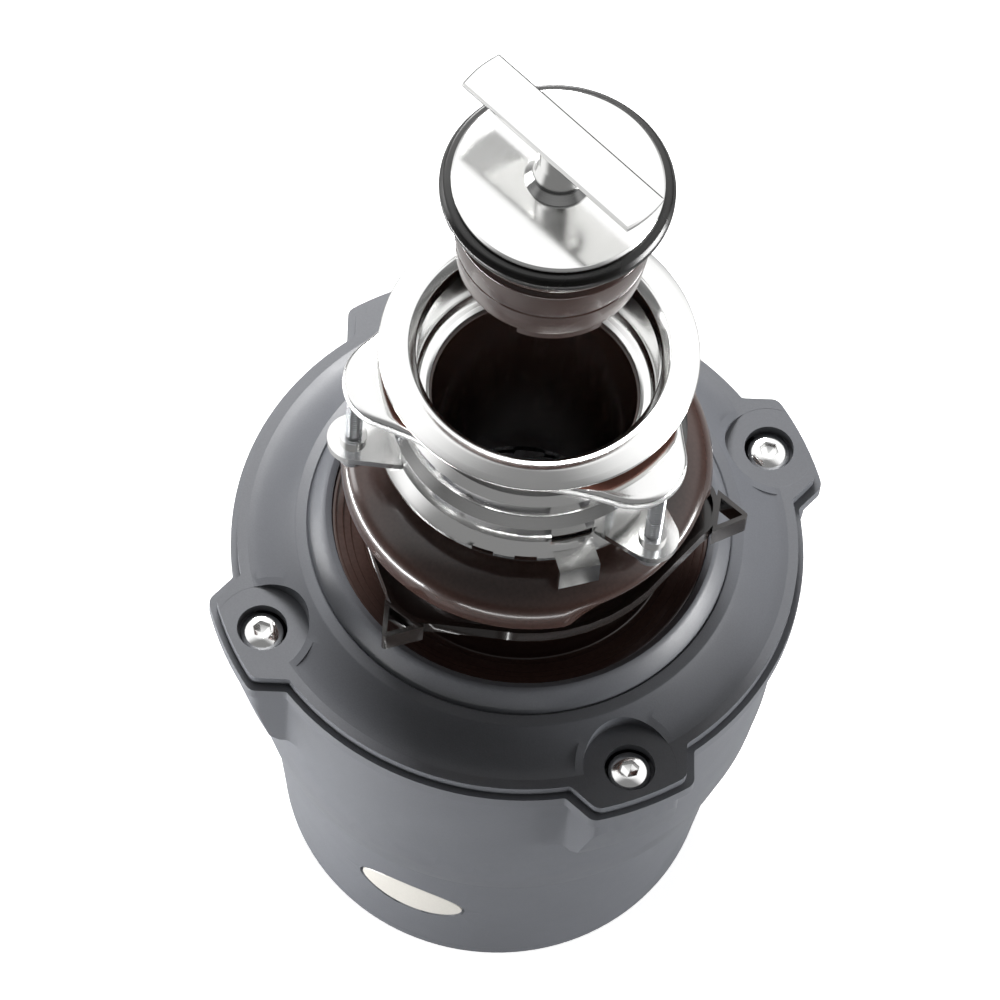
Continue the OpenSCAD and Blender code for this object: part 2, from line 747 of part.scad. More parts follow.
// The moulded top cover: flat rim, hollow slope, ring band, inner slope, rolled mouth and four lugs
module top_cover() {
    w = cover_wall;
    color(shell_grey)
    difference() {
        union() {
            difference() {
                union() {
                    translate([0, 0, body_h - lip_drop]) linear_extrude(lip_drop) rim_plan(0);
                    translate([0, 0, seam_z]) linear_extrude(skirt_h - lip_drop) rim_plan(lip_w);
                }
                translate([0, 0, seam_z - over]) cylinder(r = rim_r - w, h = skirt_h - w + over);
                translate([0, 0, body_h - w - over]) cylinder(r = rim_in_r - w / 2, h = w + 2 * over);
            }
            turned(concat(
                [[rim_in_r + edge, body_h - edge / 2]],
                sweep([rim_in_r, body_h + fit_gap], [band_r, body_h + band_h], 1.5),
                [[band_r - edge / 2, body_h + band_h + edge / 2]],
                [[band_in_r + edge / 2, body_h + band_h + edge]],
                sweep([band_in_r, body_h + band_h + edge / 2], [mouth_r + 3 * edge, mouth_z - edge / 2], 0.8),
                [[mouth_r + 2 * edge, mouth_z], [mouth_r + edge / 2, mouth_z - edge / 2]],
                [[mouth_r, mouth_z - edge]],
                [[mouth_r, skirt_z - skirt_t], [mouth_r + w, skirt_z - skirt_t]],
                [[mouth_r + w, mouth_z - 2 * w], [band_in_r, body_h + band_h - w]],
                [[band_r, body_h + band_h - w]],
                [[rim_in_r - 2 * w, body_h - 0.6 * w], [rim_in_r - w, body_h - 0.9 * w]],
                [[rim_in_r + edge, body_h - 0.9 * w]]
            ));
            around(lug_angles)
            difference() {
                translate([screw_ring_r, 0, body_h - w - edge]) cylinder(r = pocket_r + w, h = band_h + w);
                translate([rim_in_r, 0, body_h - edge])
                rotate([0, atan((band_h - edge / 2) / (rim_in_r - band_r)), 0])
                translate([-rim_r, -rim_r, 0])
                cube([2 * rim_r, 2 * rim_r, rim_r]);
            }
        }
        around(lug_angles)
        translate([screw_ring_r, 0, 0]) {
            translate([0, 0, body_h - fit_gap]) cylinder(r = pocket_r, h = mouth_h);
            translate([0, 0, body_h - recess_depth]) cylinder(r = recess_r, h = recess_depth + over);
            translate([0, 0, seam_z - over]) cylinder(r = screw_r + seat_gap, h = skirt_h);
        }
    }
}

// The button-head screws with hexagon sockets
module cover_screws() {
    head_h = recess_depth - edge;
    seat = body_h - recess_depth;
    shank_l = skirt_h - recess_depth + screw_bite;
    color(bright)
    around(lug_angles)
    translate([screw_ring_r, 0, seat])
    difference() {
        union() {
            turned(concat(
                [[0, 0], [screw_head_r, 0], [screw_head_r, edge]],
                [for (i = [1:curve_steps])
                    let (a = 62 * i / curve_steps)
                    [screw_head_r * cos(a), edge + (head_h - edge) * sin(a) / sin(62)]],
                [[0, head_h]]
            ));
            translate([0, 0, -shank_l]) cylinder(r = screw_r, h = shank_l + fit_gap);
        }
        translate([0, 0, head_h / 3]) cylinder(r = screw_head_r * 0.4, h = head_h, $fn = 6);
    }
}

// The thin black seal in the seam
module seam_seal() {
    color(black)
    translate([0, 0, seam_z - seal_t])
    linear_extrude(seal_t)
    difference() {
        rim_plan(lip_w - edge / 2);
        circle(r = rim_r - cover_wall);
        around(lug_angles) translate([screw_ring_r, 0]) circle(r = screw_r + seat_gap);
    }
}

// Height under the seam seal where the upper shell starts
shell_top_z = seam_z - seal_t;

// Inner radius of the screw bosses under the lugs
boss_in_r = screw_ring_r - 2.5 * screw_r;

// Outer radius of the upper shell at a height
function shell_r(z) =
    let (
        mid_z = step_z + 0.5 * (shell_top_z - step_z),
        mid_r = shell_low_r + 0.75 * (shell_top_r - shell_low_r)
    )
    z > mid_z
        ? mid_r + (shell_top_r - mid_r) * (z - mid_z) / (shell_top_z - mid_z)
        : mid_r - (mid_r - shell_low_r) * pow((mid_z - z) / (mid_z - step_z), 2);

// The moulded upper shell, with four leaning screw bosses and its two openings at the back
module upper_shell() {
    w = shell_wall;
    steps = 5;
    boss_z = shell_top_z - lug_depth;
    outer = [for (i = [0:steps]) let (z = step_z + (shell_top_z - step_z) * i / steps) [shell_r(z), z]];
    color(shell_grey)
    difference() {
        union() {
            difference() {
                turned(concat(
                    [[shell_low_r - w, step_z], [shell_low_r - edge, step_z], [shell_low_r, step_z + edge]],
                    [for (i = [1:steps]) outer[i]],
                    [for (i = [steps:-1:0]) [outer[i].x - w, outer[i].y]]
                ));
                outlet_side(shell_low_r / 2, shell_top_r) outlet_plan(seat_gap);
                translate([0, shell_low_r / 2, inlet_z])
                rotate([-90, 0, 0])
                cylinder(r = inlet_root_r + seat_gap, h = shell_top_r);
            }
            around(lug_angles)
            intersection() {
                turned([
                    [boss_in_r, boss_z], [lug_boss_r - lug_draft - w, boss_z],
                    [lug_boss_r - lug_draft, boss_z + w],
                    [lug_boss_r, shell_top_z - w], [lug_boss_r, shell_top_z], [boss_in_r, shell_top_z]
                ]);
                translate([0, 0, boss_z - over]) linear_extrude(lug_depth + 2 * over) polygon(lug_plan(-edge));
            }
        }
        around(lug_angles)
        translate([screw_ring_r, 0, shell_top_z - lug_depth / 2])
        cylinder(r = screw_r + fit_gap, h = lug_depth);
    }
}

// The lower shell's outer radius at a height
function lower_shell_r(z) = foot_r + (lower_r - foot_r) * (z - foot_round) / (step_z - foot_round);

// The lower shell: rounded base edge, tapered wall, inner collar, badge recess and the openings in the base
module lower_shell() {
    w = shell_wall;
    flat_r = foot_r - foot_round;
    collar_r = shell_low_r - w - seat_gap;
    collar_h = 5 * w;
    color(shell_grey)
    difference() {
        turned(concat(
            [[0, 0], [flat_r, 0]],
            arc([flat_r, foot_round], foot_round, -90, 0, 2 * curve_steps),
            [[lower_r, step_z - fit_gap], [collar_r, step_z - fit_gap], [collar_r, step_z + collar_h]],
            [[collar_r - w, step_z + collar_h], [collar_r - w, step_z - w]],
            [[lower_shell_r(step_z - 3 * w) - w, step_z - 3 * w]],
            arc([flat_r, foot_round], foot_round - w, 0, -90, 2 * curve_steps),
            [[0, w]]
        ));
        badge_skin(badge_w / 2 + edge, badge_h / 2 + edge, -badge_recess, over);
        outlet_side(0, 2 * shell_top_r) outlet_plan(seat_gap);
        translate([-plate_w / 2 - fit_gap, plate_y - fit_gap, -over])
        cube([plate_w + 2 * fit_gap, plate_l + 2 * fit_gap, plate_t + seat_gap + over]);
        translate([0, entry_y, -over]) cylinder(r = entry_r + bush_wall + fit_gap, h = w + 2 * over);
        translate([button_x, 0, -over]) cylinder(r = button_r + seat_gap, h = w + 2 * over);
        translate([0, plate_screw_y, -over]) cylinder(r = plate_screw_r + fit_gap, h = w + 2 * over);
    }
}

badge_recess = 1.4;
badge_t = 1.2;

// An oval skin on the lower shell, from its half width, its half height and two offsets from the surface
module badge_skin(a, b, low, high) {
    slope = atan((lower_r - foot_r) / (step_z - foot_round));
    z0 = badge_z - badge_h;
    z1 = badge_z + badge_h;
    steps = 6 * curve_steps;
    intersection() {
        rotate([0, 0, badge_angle])
        translate([lower_shell_r(badge_z) - foot_round, 0, badge_z])
        rotate([0, 90 + slope, 0])
        rotate([0, 0, badge_tilt])
        linear_extrude(2 * foot_round)
        polygon([for (i = [1:steps]) [b * cos(360 * i / steps), a * sin(360 * i / steps)]]);
        turned([
            [lower_shell_r(z0) + low, z0], [lower_shell_r(z0) + high, z0],
            [lower_shell_r(z1) + high, z1], [lower_shell_r(z1) + low, z1]
        ]);
    }
}

// The bare oval badge, bent to the shell
module badge_plate() {
    color([0.86, 0.84, 0.81])
    badge_skin(badge_w / 2, badge_h / 2, fit_gap - badge_recess, badge_t - badge_recess);
}

// GRINDING CHAMBER
grind_drop = 8;
table_gap = 0.8;
table_r = chamber_r - ring_w - table_gap;
grind_z = table_z - grind_drop;
grind_out_r = chamber_r;
grind_in_r = chamber_r - ring_w;
gasket_h = 2;
chamber_z = grind_z + gasket_h + fit_gap;
shoulder_drop = 7;
shoulder_z = body_h - shoulder_drop;
neck_top_z = skirt_z - skirt_t - fit_gap;
chamber_neck_r = neck_r - edge;
tooth_w = 5;
tooth_d = 3;

// The drawn steel chamber, narrowing to the neck that carries the rubber mount
module grind_chamber() {
    w = chamber_wall;
    color(steel)
    difference() {
        turned([
            [chamber_r + fit_gap, chamber_z], [chamber_r + w, chamber_z], [chamber_r + w, shoulder_z - 6 * w],
            [chamber_r - 4 * w, shoulder_z - w], [chamber_neck_r, shoulder_z + w],
            [chamber_neck_r, neck_top_z], [chamber_neck_r - 4 * w, neck_top_z],
            [chamber_neck_r - 4 * w, neck_top_z - w], [chamber_neck_r - w, neck_top_z - 2 * w],
            [chamber_neck_r - w, shoulder_z], [chamber_r - 5 * w, shoulder_z - 2 * w],
            [chamber_r + fit_gap, shoulder_z - 7 * w]
        ]);
        translate([0, 0, inlet_z]) rotate([-90, 0, 0]) cylinder(r = inlet_r - inlet_wall, h = 2 * chamber_r);
    }
}

// The foam sleeve that quietens the chamber
module chamber_insulation() {
    in_r = chamber_r + chamber_wall + seat_gap;
    low = outlet_z + outlet_flange_r + edge;
    high = shell_top_z - lug_corner;
    color(foam)
    difference() {
        tube(boss_in_r - seat_gap, in_r, low, high);
        translate([0, 0, inlet_z])
        rotate([-90, 0, 0])
        cylinder(r = inlet_root_r + seat_gap, h = 2 * shell_top_r);
    }
}

// The fixed grind ring: deep teeth round the inside and shear windows above the table
module grind_ring() {
    color(steel)
    difference() {
        tube(grind_out_r, grind_in_r, grind_z, grind_z + grind_h);
        around([for (i = [0:grind_teeth - 1]) 360 * i / grind_teeth])
        translate([grind_in_r - over, -tooth_w / 2, table_z - table_t])
        cube([tooth_d + over, tooth_w, grind_h / 2]);
        around([for (i = [0:grind_teeth / 2 - 1]) 720 * (i + 0.25) / grind_teeth])
        translate([grind_in_r - over, -tooth_w / 2, grind_z - over])
        cube([tooth_d + over, tooth_w, tooth_w + over]);
    }
}

hub_r = 14;
nut_r = 11;
nut_h = 7;
breaker_l = 12;
breaker_w = 14;
breaker_h = 6;
sieve_r = 3;
pin_head_h = 2;

// The turntable: dished disc with a hub, raised rim, sieve holes and two fixed breaker lugs
module turntable() {
    low = table_z - table_t;
    color(steel)
    difference() {
        union() {
            turned([
                [0, low], [table_r, low], [table_r, table_z + edge], [table_r - 2 * edge, table_z + edge],
                [table_r - 4 * edge, table_z], [hub_r + 2 * edge, table_z],
                [hub_r, table_z + 2 * edge], [0, table_z + 2 * edge]
            ]);
            around([90, 270])
            translate([table_r - edge - breaker_l, -breaker_w / 2, table_z - edge])
            linear_extrude(breaker_h + edge)
            polygon(rounded(
                [[0, breaker_w / 5], [breaker_l, 0], [breaker_l, breaker_w * 0.8], [breaker_l / 4, breaker_w]],
                [edge, edge, edge, edge]
            ));
        }
        translate([0, 0, low - over])
        cylinder(r = shaft_r * 0.75 + fit_gap, h = table_t + 4 * edge + 2 * over);
        around([30, 150, 210, 330])
        translate([table_r * 0.72, 0, low - over])
        cylinder(r = sieve_r, h = table_t + 2 * over);
        around([0, 180])
        translate([pin_ring_r, 0, low - over])
        cylinder(r = pin_r + fit_gap, h = table_t + 2 * over);
    }
}

// The two rivet pins that the impellers swing on
module impeller_pins() {
    color(steel)
    around([0, 180])
    translate([pin_ring_r, 0, 0]) {
        translate([0, 0, table_z - table_t - pin_head_h])
        cylinder(r = 1.5 * pin_r, h = pin_head_h - fit_gap);
        translate([0, 0, table_z - table_t - pin_head_h / 2])
        cylinder(r = pin_r, h = table_t + impeller_h + pin_head_h);
        translate([0, 0, table_z + impeller_h + seat_gap])
        cylinder(r = 1.5 * pin_r, h = pin_head_h);
    }
}

// One swinging impeller: heavy heel, nose and a step that clears the table's rim
module impeller() {
    heel = 2.6 * pin_r;
    color(cast_grey)
    translate([pin_ring_r, 0, table_z + seat_gap / 2])
    difference() {
        union() {
            linear_extrude(impeller_h)
            polygon(rounded(
                [
                    [-heel, -heel], [impeller_l * 0.6, -heel], [impeller_l, -heel * 0.4],
                    [impeller_l * 0.9, heel * 0.3], [heel * 0.4, heel], [-heel, heel]
                ],
                [0.4 * heel, 0.3 * heel, edge, edge, 0.5 * heel, 0.5 * heel]
            ));
            translate([-heel * 1.5, -heel * 0.5, 0]) cube([heel, heel, impeller_h * 0.5]);
        }
        translate([0, 0, -over]) cylinder(r = pin_r + fit_gap, h = impeller_h + 2 * over);
        translate([impeller_l * 0.45, -2 * heel, impeller_h * 0.62]) cube([impeller_l, 4 * heel, impeller_h]);
    }
}

module impeller_a() {
    impeller();
}

module impeller_b() {
    rotate([0, 0, 180]) impeller();
}

// The domed nut that holds the turntable on the shaft
module turntable_nut() {
    low = table_z + 2 * edge + fit_gap;
    color(steel)
    difference() {
        translate([0, 0, low]) cylinder(r = nut_r, h = nut_h, $fn = 6);
        translate([0, 0, low - over]) cylinder(r = shaft_r * 0.75 + fit_gap, h = nut_h * 0.8 + over);
    }
}

// DRAIN CHAMBER AND MOTOR
bell_floor_t = 4;
bell_floor_z = outlet_z - outlet_r - bell_floor_t / 2;
bell_wall = 4;
bell_r = stator_r + bell_wall / 2;
bearing_r = 14;
bearing_l = 18;
seal_r = 13;
seal_l = 9;
bell_hub_r = 19;
bell_hub_z = bell_floor_z - bell_floor_t - bearing_l / 2;
seal_z = bell_hub_z + bearing_l + edge;
stator_top = stator_z + stack_l;
register_h = 4;
coil_h = 10;
slot_w = 4;
coil_gap = 6;
yoke_w = 12;
tie_inset = 5;
coil_in_r = rotor_r + coil_gap;
coil_out_r = stator_r - yoke_w;
tie_ring_r = stator_r - tie_inset;
tie_r = 2.5;
tie_angles = [45, 135, 225, 315];
outlet_flange_r = 24;
outlet_ear_x = 27;
outlet_ear_r = 7;
outlet_bolt_r = 2.5;
outlet_face_y = 88;
outlet_gasket_t = 2;
outlet_flange_t = 4;

// The plan of the outlet's flange: a disc with two ears
module outlet_plan(grow) {
    circle(r = outlet_flange_r + grow);
    for (s = [-1, 1]) translate([s * outlet_ear_x, 0]) circle(r = outlet_ear_r + grow);
    square([2 * outlet_ear_x, 2 * (outlet_ear_r + grow)], center = true);
}

// A flat shape drawn out along +Y at the outlet, from one distance to another
module outlet_side(y0, y1) {
    translate([0, 0, outlet_z])
    rotate([-90, 0, 0])
    translate([0, 0, y0])
    linear_extrude(y1 - y0)
    children();
}

// The cast end bell: motor frame below, drain chamber above, hub for the bearing, outlet face at the back
module end_bell() {
    floor_low = bell_floor_z - bell_floor_t;
    rib_low = stator_top + coil_h + 2 * seat_gap;
    color(cast_grey)
    difference() {
        union() {
            difference() {
                union() {
                    translate([0, 0, stator_top - register_h])
                    cylinder(r = bell_r, h = grind_z - stator_top + register_h);
                    outlet_side(bell_r - 4 * bell_wall, outlet_face_y) outlet_plan(0);
                }
                translate([0, 0, bell_floor_z]) cylinder(r = bell_r - bell_wall, h = 2 * outlet_flange_r);
                translate([0, 0, grind_z]) cylinder(r = bell_r + seat_gap, h = 2 * outlet_flange_r);
                translate([0, 0, stator_z]) cylinder(r = bell_r - bell_wall, h = floor_low - stator_z);
                translate([0, 0, stator_z]) cylinder(r = stator_r + fit_gap, h = stack_l + fit_gap);
            }
            translate([0, 0, bell_hub_z]) cylinder(r = bell_hub_r, h = seal_z + seal_l - bell_hub_z);
            around([for (i = [0:5]) 60 * i + 30])
            translate([bell_hub_r - edge, -bell_wall / 2, rib_low])
            cube([bell_r - bell_hub_r - bell_wall / 2, bell_wall, floor_low + edge - rib_low]);
        }
        translate([0, 0, bell_hub_z - over]) cylinder(r = bearing_r + fit_gap, h = bearing_l + over);
        translate([0, 0, bell_hub_z]) cylinder(r = shaft_r + edge, h = seal_z - bell_hub_z + over);
        translate([0, 0, seal_z]) cylinder(r = seal_r + fit_gap, h = seal_l + over);
        outlet_side(bell_r / 2, outlet_face_y + over) circle(r = outlet_r - outlet_wall);
        for (s = [-1, 1])
        translate([s * outlet_ear_x, 0, 0])
        outlet_side(outlet_face_y - 3 * bell_wall, outlet_face_y + over)
        circle(r = outlet_bolt_r + fit_gap);
        around(tie_angles)
        translate([tie_ring_r, 0, stator_top - register_h])
        cylinder(r = tie_r + fit_gap, h = floor_low + bell_floor_t / 2 - stator_top + register_h);
    }
}

// The gasket between the end bell and the chamber
module chamber_gasket() {
    color(black) tube(bell_r, chamber_r + fit_gap, grind_z + fit_gap, grind_z + gasket_h);
}

// The shaft seal, a stepped rubber ring with its lip on the shaft
module shaft_seal() {
    lip_r = shaft_r + run_clear;
    z = seal_z + fit_gap;
    color(black)
    turned([
        [lip_r, z + seal_l / 3], [shaft_r + 2 * edge, z], [seal_r, z], [seal_r, z + seal_l - edge],
        [seal_r - edge, z + seal_l], [shaft_r + 2 * edge, z + seal_l], [lip_r, z + 2 * seal_l / 3]
    ]);
}

// The upper sleeve bearing in the end bell's hub
module upper_bearing() {
    color(brass) tube(bearing_r, shaft_r + run_clear, bell_hub_z, bell_hub_z + bearing_l - fit_gap);
}

frame_wall = 4;
frame_z = stator_z - coil_h - 2 * frame_wall - edge;
lower_bearing_l = 12;
shaft_z = frame_z + frame_wall + seat_gap;
slinger_z = seal_z + seal_l + 3 * edge;
slinger_r = 18;

// The stepped shaft, from the lower bearing up through the turntable to the nut
module shaft() {
    step = table_z - table_t;
    top = table_z + 2 * edge + nut_h * 0.7;
    color(steel)
    turned([
        [0, shaft_z], [shaft_r - edge, shaft_z], [shaft_r, shaft_z + edge], [shaft_r, step - fit_gap],
        [shaft_r * 0.75, step - fit_gap], [shaft_r * 0.75, top], [0, top]
    ]);
}

// The rotor's laminated core with its cast end rings and cooling blades
module rotor_core() {
    ring_h = 5;
    color(cast_grey)
    difference() {
        union() {
            translate([0, 0, stator_z]) cylinder(r = rotor_r, h = stack_l);
            tube(rotor_r - edge, rotor_r * 0.6, stator_z - ring_h, stator_z + edge);
            tube(rotor_r - edge, rotor_r * 0.6, stator_top - edge, stator_top + ring_h);
            around([for (i = [0:7]) 45 * i])
            translate([rotor_r * 0.65, -edge, stator_top])
            cube([rotor_r * 0.3, 2 * edge, 1.6 * ring_h]);
        }
        translate([0, 0, stator_z - over]) cylinder(r = shaft_r + fit_gap, h = stack_l + 2 * over);
    }
}

// The slinger, a cupped disc on the shaft that throws water off the seal
module slinger() {
    color(black)
    turned([
        [shaft_r + fit_gap, slinger_z], [shaft_r + 3 * edge, slinger_z], [slinger_r, slinger_z - edge],
        [slinger_r, slinger_z + edge / 2], [shaft_r + 3 * edge, slinger_z + 2 * edge],
        [shaft_r + 3 * edge, slinger_z + 5 * edge], [shaft_r + fit_gap, slinger_z + 5 * edge]
    ]);
}

// The stator's laminated core, slotted round its bore
module stator_core() {
    bore = rotor_r + air_gap;
    color(steel)
    difference() {
        tube(stator_r, bore, stator_z, stator_top);
        around([for (i = [0:stator_slots - 1]) 360 * i / stator_slots])
        translate([coil_in_r, -slot_w / 2, stator_z - over])
        cube([coil_out_r - coil_in_r - slot_w, slot_w, stack_l + 2 * over]);
        around(tie_angles)
        translate([tie_ring_r, 0, stator_z - over])
        cylinder(r = tie_r + fit_gap, h = stack_l + 2 * over);
    }
}

// The end turns of the stator's windings, joined through the slots
module stator_windings() {
    leg_w = slot_w - 2 * seat_gap;
    round_r = coil_h / 2 - edge;
    function end_turn(z0, z1, s) = [
        [coil_in_r, z0], [coil_out_r, z0], [coil_out_r, z1 - s * round_r], [coil_out_r - round_r, z1],
        [coil_in_r + round_r, z1], [coil_in_r, z1 - s * round_r]
    ];
    color(copper) {
        turned(end_turn(stator_top + seat_gap, stator_top + coil_h, 1));
        turned(end_turn(stator_z - seat_gap, stator_z - coil_h, -1));
        around([for (i = [0:stator_slots - 1]) 360 * i / stator_slots])
        translate([coil_in_r + seat_gap, -leg_w / 2, stator_z - coil_h / 2])
        cube([coil_out_r - coil_in_r - slot_w - 2 * seat_gap, leg_w, stack_l + coil_h]);
    }
}

// The cast lower frame with its bearing hub and ribs
module lower_frame() {
    w = frame_wall;
    hub = bearing_r + w;
    color(cast_grey)
    difference() {
        union() {
            turned([
                [0, frame_z], [bell_r - w, frame_z], [bell_r, frame_z + w], [bell_r, stator_z + register_h],
                [stator_r + fit_gap, stator_z + register_h], [stator_r + fit_gap, stator_z - fit_gap],
                [bell_r - w, stator_z - fit_gap], [bell_r - w, frame_z + w], [0, frame_z + w]
            ]);
            translate([0, 0, frame_z]) cylinder(r = hub, h = w + lower_bearing_l);
            around([for (i = [0:5]) 60 * i + 30])
            translate([hub - edge, -w / 2, frame_z + w - edge])
            cube([bell_r - hub - w, w, w / 2 + edge]);
            around(tie_angles)
            translate([tie_ring_r, 0, frame_z + w - edge])
            cylinder(r = 1.8 * tie_r, h = stator_z - edge - frame_z - w + edge);
        }
        translate([0, 0, frame_z + w]) cylinder(r = bearing_r + fit_gap, h = lower_bearing_l + over);
        around(tie_angles)
        translate([tie_ring_r, 0, frame_z - over])
        cylinder(r = tie_r + fit_gap, h = stator_z);
        around([0, 60, 120, 180, 240, 300])
        translate([bell_r * 0.55, 0, frame_z - over])
        cylinder(r = 2 * w, h = 2 * w);
    }
}

// The lower sleeve bearing
module lower_bearing() {
    low = frame_z + frame_wall + fit_gap;
    color(brass) tube(bearing_r, shaft_r + run_clear, low, low + lower_bearing_l - fit_gap);
}

// The four long bolts that hold the frame, the stator and the end bell together
module through_bolts() {
    head_h = 3;
    top = bell_floor_z - bell_floor_t / 2 - edge;
    color(steel)
    around(tie_angles)
    translate([tie_ring_r, 0, 0]) {
        translate([0, 0, frame_z - head_h]) cylinder(r = tie_r, h = top - frame_z + head_h);
        translate([0, 0, frame_z - head_h - fit_gap]) cylinder(r = 1.8 * tie_r, h = head_h, $fn = 6);
    }
}

// ELECTRICAL PARTS IN THE BASE
plate_w = 54;
plate_l = 36;
plate_y = -54;
plate_t = 1.2;
plate_round = 4;
plate_screw_inset = 6;
plate_screw_y = plate_y + plate_l - plate_screw_inset;
plate_screw_r = 2;
switch_w = 28;
switch_l = 16;
switch_h = 6;
switch_y = -24;
bush_wall = 2.4;
cap_r = 8.5;
cap_l = 44;
cap_y = 18;
pad_x = 44;
protector_w = 18;
protector_h = 10;
button_low = 1;
button_head_h = 5;
button_stem_r = 2.5;
leg_t = 2;
floor_z = shell_wall + fit_gap;
protector_z = button_low + button_head_h + button_travel + seat_gap;

// The centrifugal start switch under the lower frame
module start_switch() {
    color(black)
    translate([0, switch_y, frame_z - switch_h - fit_gap])
    difference() {
        union() {
            translate([-switch_w / 2, 0, 0]) cube([switch_w, switch_l, switch_h]);
            translate([-switch_w / 4, -switch_l / 2, switch_h / 3])
            cube([switch_w / 2, switch_l / 2 + edge, switch_h * 2 / 3]);
        }
        for (s = [-1, 1])
        translate([s * switch_w / 4, switch_l / 2, -over])
        cylinder(r = switch_l / 8, h = switch_h / 2 + over);
    }
}

// The start capacitor, which lies on two ribs of its cradle
module capacitor() {
    z = floor_z + leg_t + cap_r;
    color(black) {
        translate([-cap_l - edge, cap_y, z])
        rotate([0, 90, 0]) {
            cylinder(r = cap_r, h = cap_l);
            translate([0, 0, cap_l - over]) cylinder(r = cap_r / 2, h = 2 * edge + over);
        }
        for (x = [-cap_l * 0.8, -cap_l * 0.3])
        translate([x, cap_y - cap_r * 0.8, floor_z])
        cube([leg_t, cap_r * 1.6, leg_t + cap_r * 0.6]);
    }
}

// The overload protector, a small box on two legs with a bore for the reset button's stem
module overload_protector() {
    color(black)
    difference() {
        union() {
            translate([button_x - protector_w / 2, -protector_w / 2, protector_z])
            cube([protector_w, protector_w, protector_h]);
            for (s = [-1, 1])
            translate([button_x - protector_w / 2, s * (protector_w / 2 - leg_t / 2) - leg_t / 2, floor_z])
            cube([protector_w, leg_t, protector_z - floor_z + edge]);
        }
        translate([button_x, 0, protector_z - over]) cylinder(r = button_stem_r + fit_gap, h = protector_h);
    }
}

// The red reset button in the base
module reset_button() {
    stem = protector_h / 2;
    color(red)
    translate([button_x, 0, 0]) {
        translate([0, 0, button_low]) turned([
            [0, 0], [button_r - edge, 0], [button_r, edge], [button_r, button_head_h], [0, button_head_h]
        ]);
        translate([0, 0, button_low + button_head_h - edge])
        cylinder(r = button_stem_r, h = button_travel + stem + edge);
    }
}

// The plate over the wiring space, sunk in the base
module terminal_cover() {
    low = seat_gap;
    color(steel)
    difference() {
        translate([-plate_w / 2, plate_y, low])
        linear_extrude(plate_t)
        polygon(rounded([[0, 0], [plate_w, 0], [plate_w, plate_l], [0, plate_l]],
            [for (i = [1:4]) plate_round]));
        translate([0, plate_screw_y, low - over])
        cylinder(r = plate_screw_r + fit_gap, h = plate_t + 2 * over);
    }
}

// The screw that holds the plate; its flat head stays above the base's lowest face
module terminal_screw() {
    head_h = 0.25;
    color(steel)
    translate([0, plate_screw_y, 0]) {
        cylinder(r = 2 * plate_screw_r, h = head_h);
        cylinder(r = plate_screw_r, h = shell_wall + 4 * edge);
    }
}

// The insulating bushing of the cable entry
module conduit_bushing() {
    color(black)
    translate([0, entry_y, 0])
    difference() {
        union() {
            translate([0, 0, seat_gap]) cylinder(r = entry_r + bush_wall, h = floor_z + edge);
            translate([0, 0, floor_z]) cylinder(r = entry_r + bush_wall + 2 * edge, h = 2 * edge);
        }
        translate([0, 0, -over]) cylinder(r = entry_r, h = floor_z + 4 * edge + over);
    }
}

// OUTLETS AT THE BACK
// The discharge outlet: an eared flange, a short collar and a straight tube
module discharge_outlet() {
    low = outlet_face_y + outlet_gasket_t;
    color(black)
    difference() {
        union() {
            outlet_side(low, low + outlet_flange_t) outlet_plan(0);
            outlet_side(low, outlet_end) circle(r = outlet_r);
            outlet_side(low, low + 2 * outlet_flange_t) circle(r = outlet_r + edge);
        }
        outlet_side(low - over, outlet_end + over) circle(r = outlet_r - outlet_wall);
        for (s = [-1, 1])
        translate([s * outlet_ear_x, 0, 0])
        outlet_side(low - over, low + outlet_flange_t + over)
        circle(r = outlet_bolt_r + seat_gap);
    }
}

// The flat gasket behind the outlet's flange
module outlet_gasket() {
    color(rubber)
    difference() {
        outlet_side(outlet_face_y + fit_gap, outlet_face_y + outlet_gasket_t - fit_gap) outlet_plan(-edge / 2);
        outlet_side(outlet_face_y - over, outlet_face_y + 2 * outlet_gasket_t)
        circle(r = outlet_r - outlet_wall);
        for (s = [-1, 1])
        translate([s * outlet_ear_x, 0, 0])
        outlet_side(outlet_face_y - over, outlet_face_y + 2 * outlet_gasket_t)
        circle(r = outlet_bolt_r + seat_gap);
    }
}

// The two bolts of the outlet's flange
module outlet_bolts() {
    low = outlet_face_y - 2.5 * bell_wall;
    top = outlet_face_y + outlet_gasket_t + outlet_flange_t + fit_gap;
    color(steel)
    for (s = [-1, 1])
    translate([s * outlet_ear_x, 0, 0]) {
        outlet_side(low, top + edge) circle(r = outlet_bolt_r);
        outlet_side(top, top + 3 * edge) circle(r = 2 * outlet_bolt_r, $fn = 6);
    }
}

// The dishwasher inlet, a tube with two hose barbs
module dishwasher_inlet() {
    in_r = inlet_r - inlet_wall;
    low = chamber_r * 0.9;
    barb = inlet_wall / 2;
    color(cast_grey)
    difference() {
        translate([0, 0, inlet_z])
        rotate([-90, 0, 0])
        turned([
            [in_r, low], [inlet_root_r, low], [inlet_root_r, shell_top_r + edge],
            [inlet_r, shell_top_r + edge],
            [inlet_r, inlet_end - 6 * barb], [inlet_r - barb, inlet_end - 4 * barb],
            [inlet_r - barb, inlet_end], [in_r, inlet_end]
        ]);
        translate([0, 0, inlet_z - 2 * inlet_root_r])
        cylinder(r = chamber_r + chamber_wall + fit_gap, h = 4 * inlet_root_r);
    }
}

// The knock-out plug that closes the inlet until a hose is fitted
module inlet_plug() {
    low = chamber_r + chamber_wall + 2 * edge;
    color(black)
    translate([0, 0, inlet_z])
    rotate([-90, 0, 0])
    translate([0, 0, low])
    cylinder(r = inlet_r - inlet_wall - fit_gap, h = 2 * edge);
}

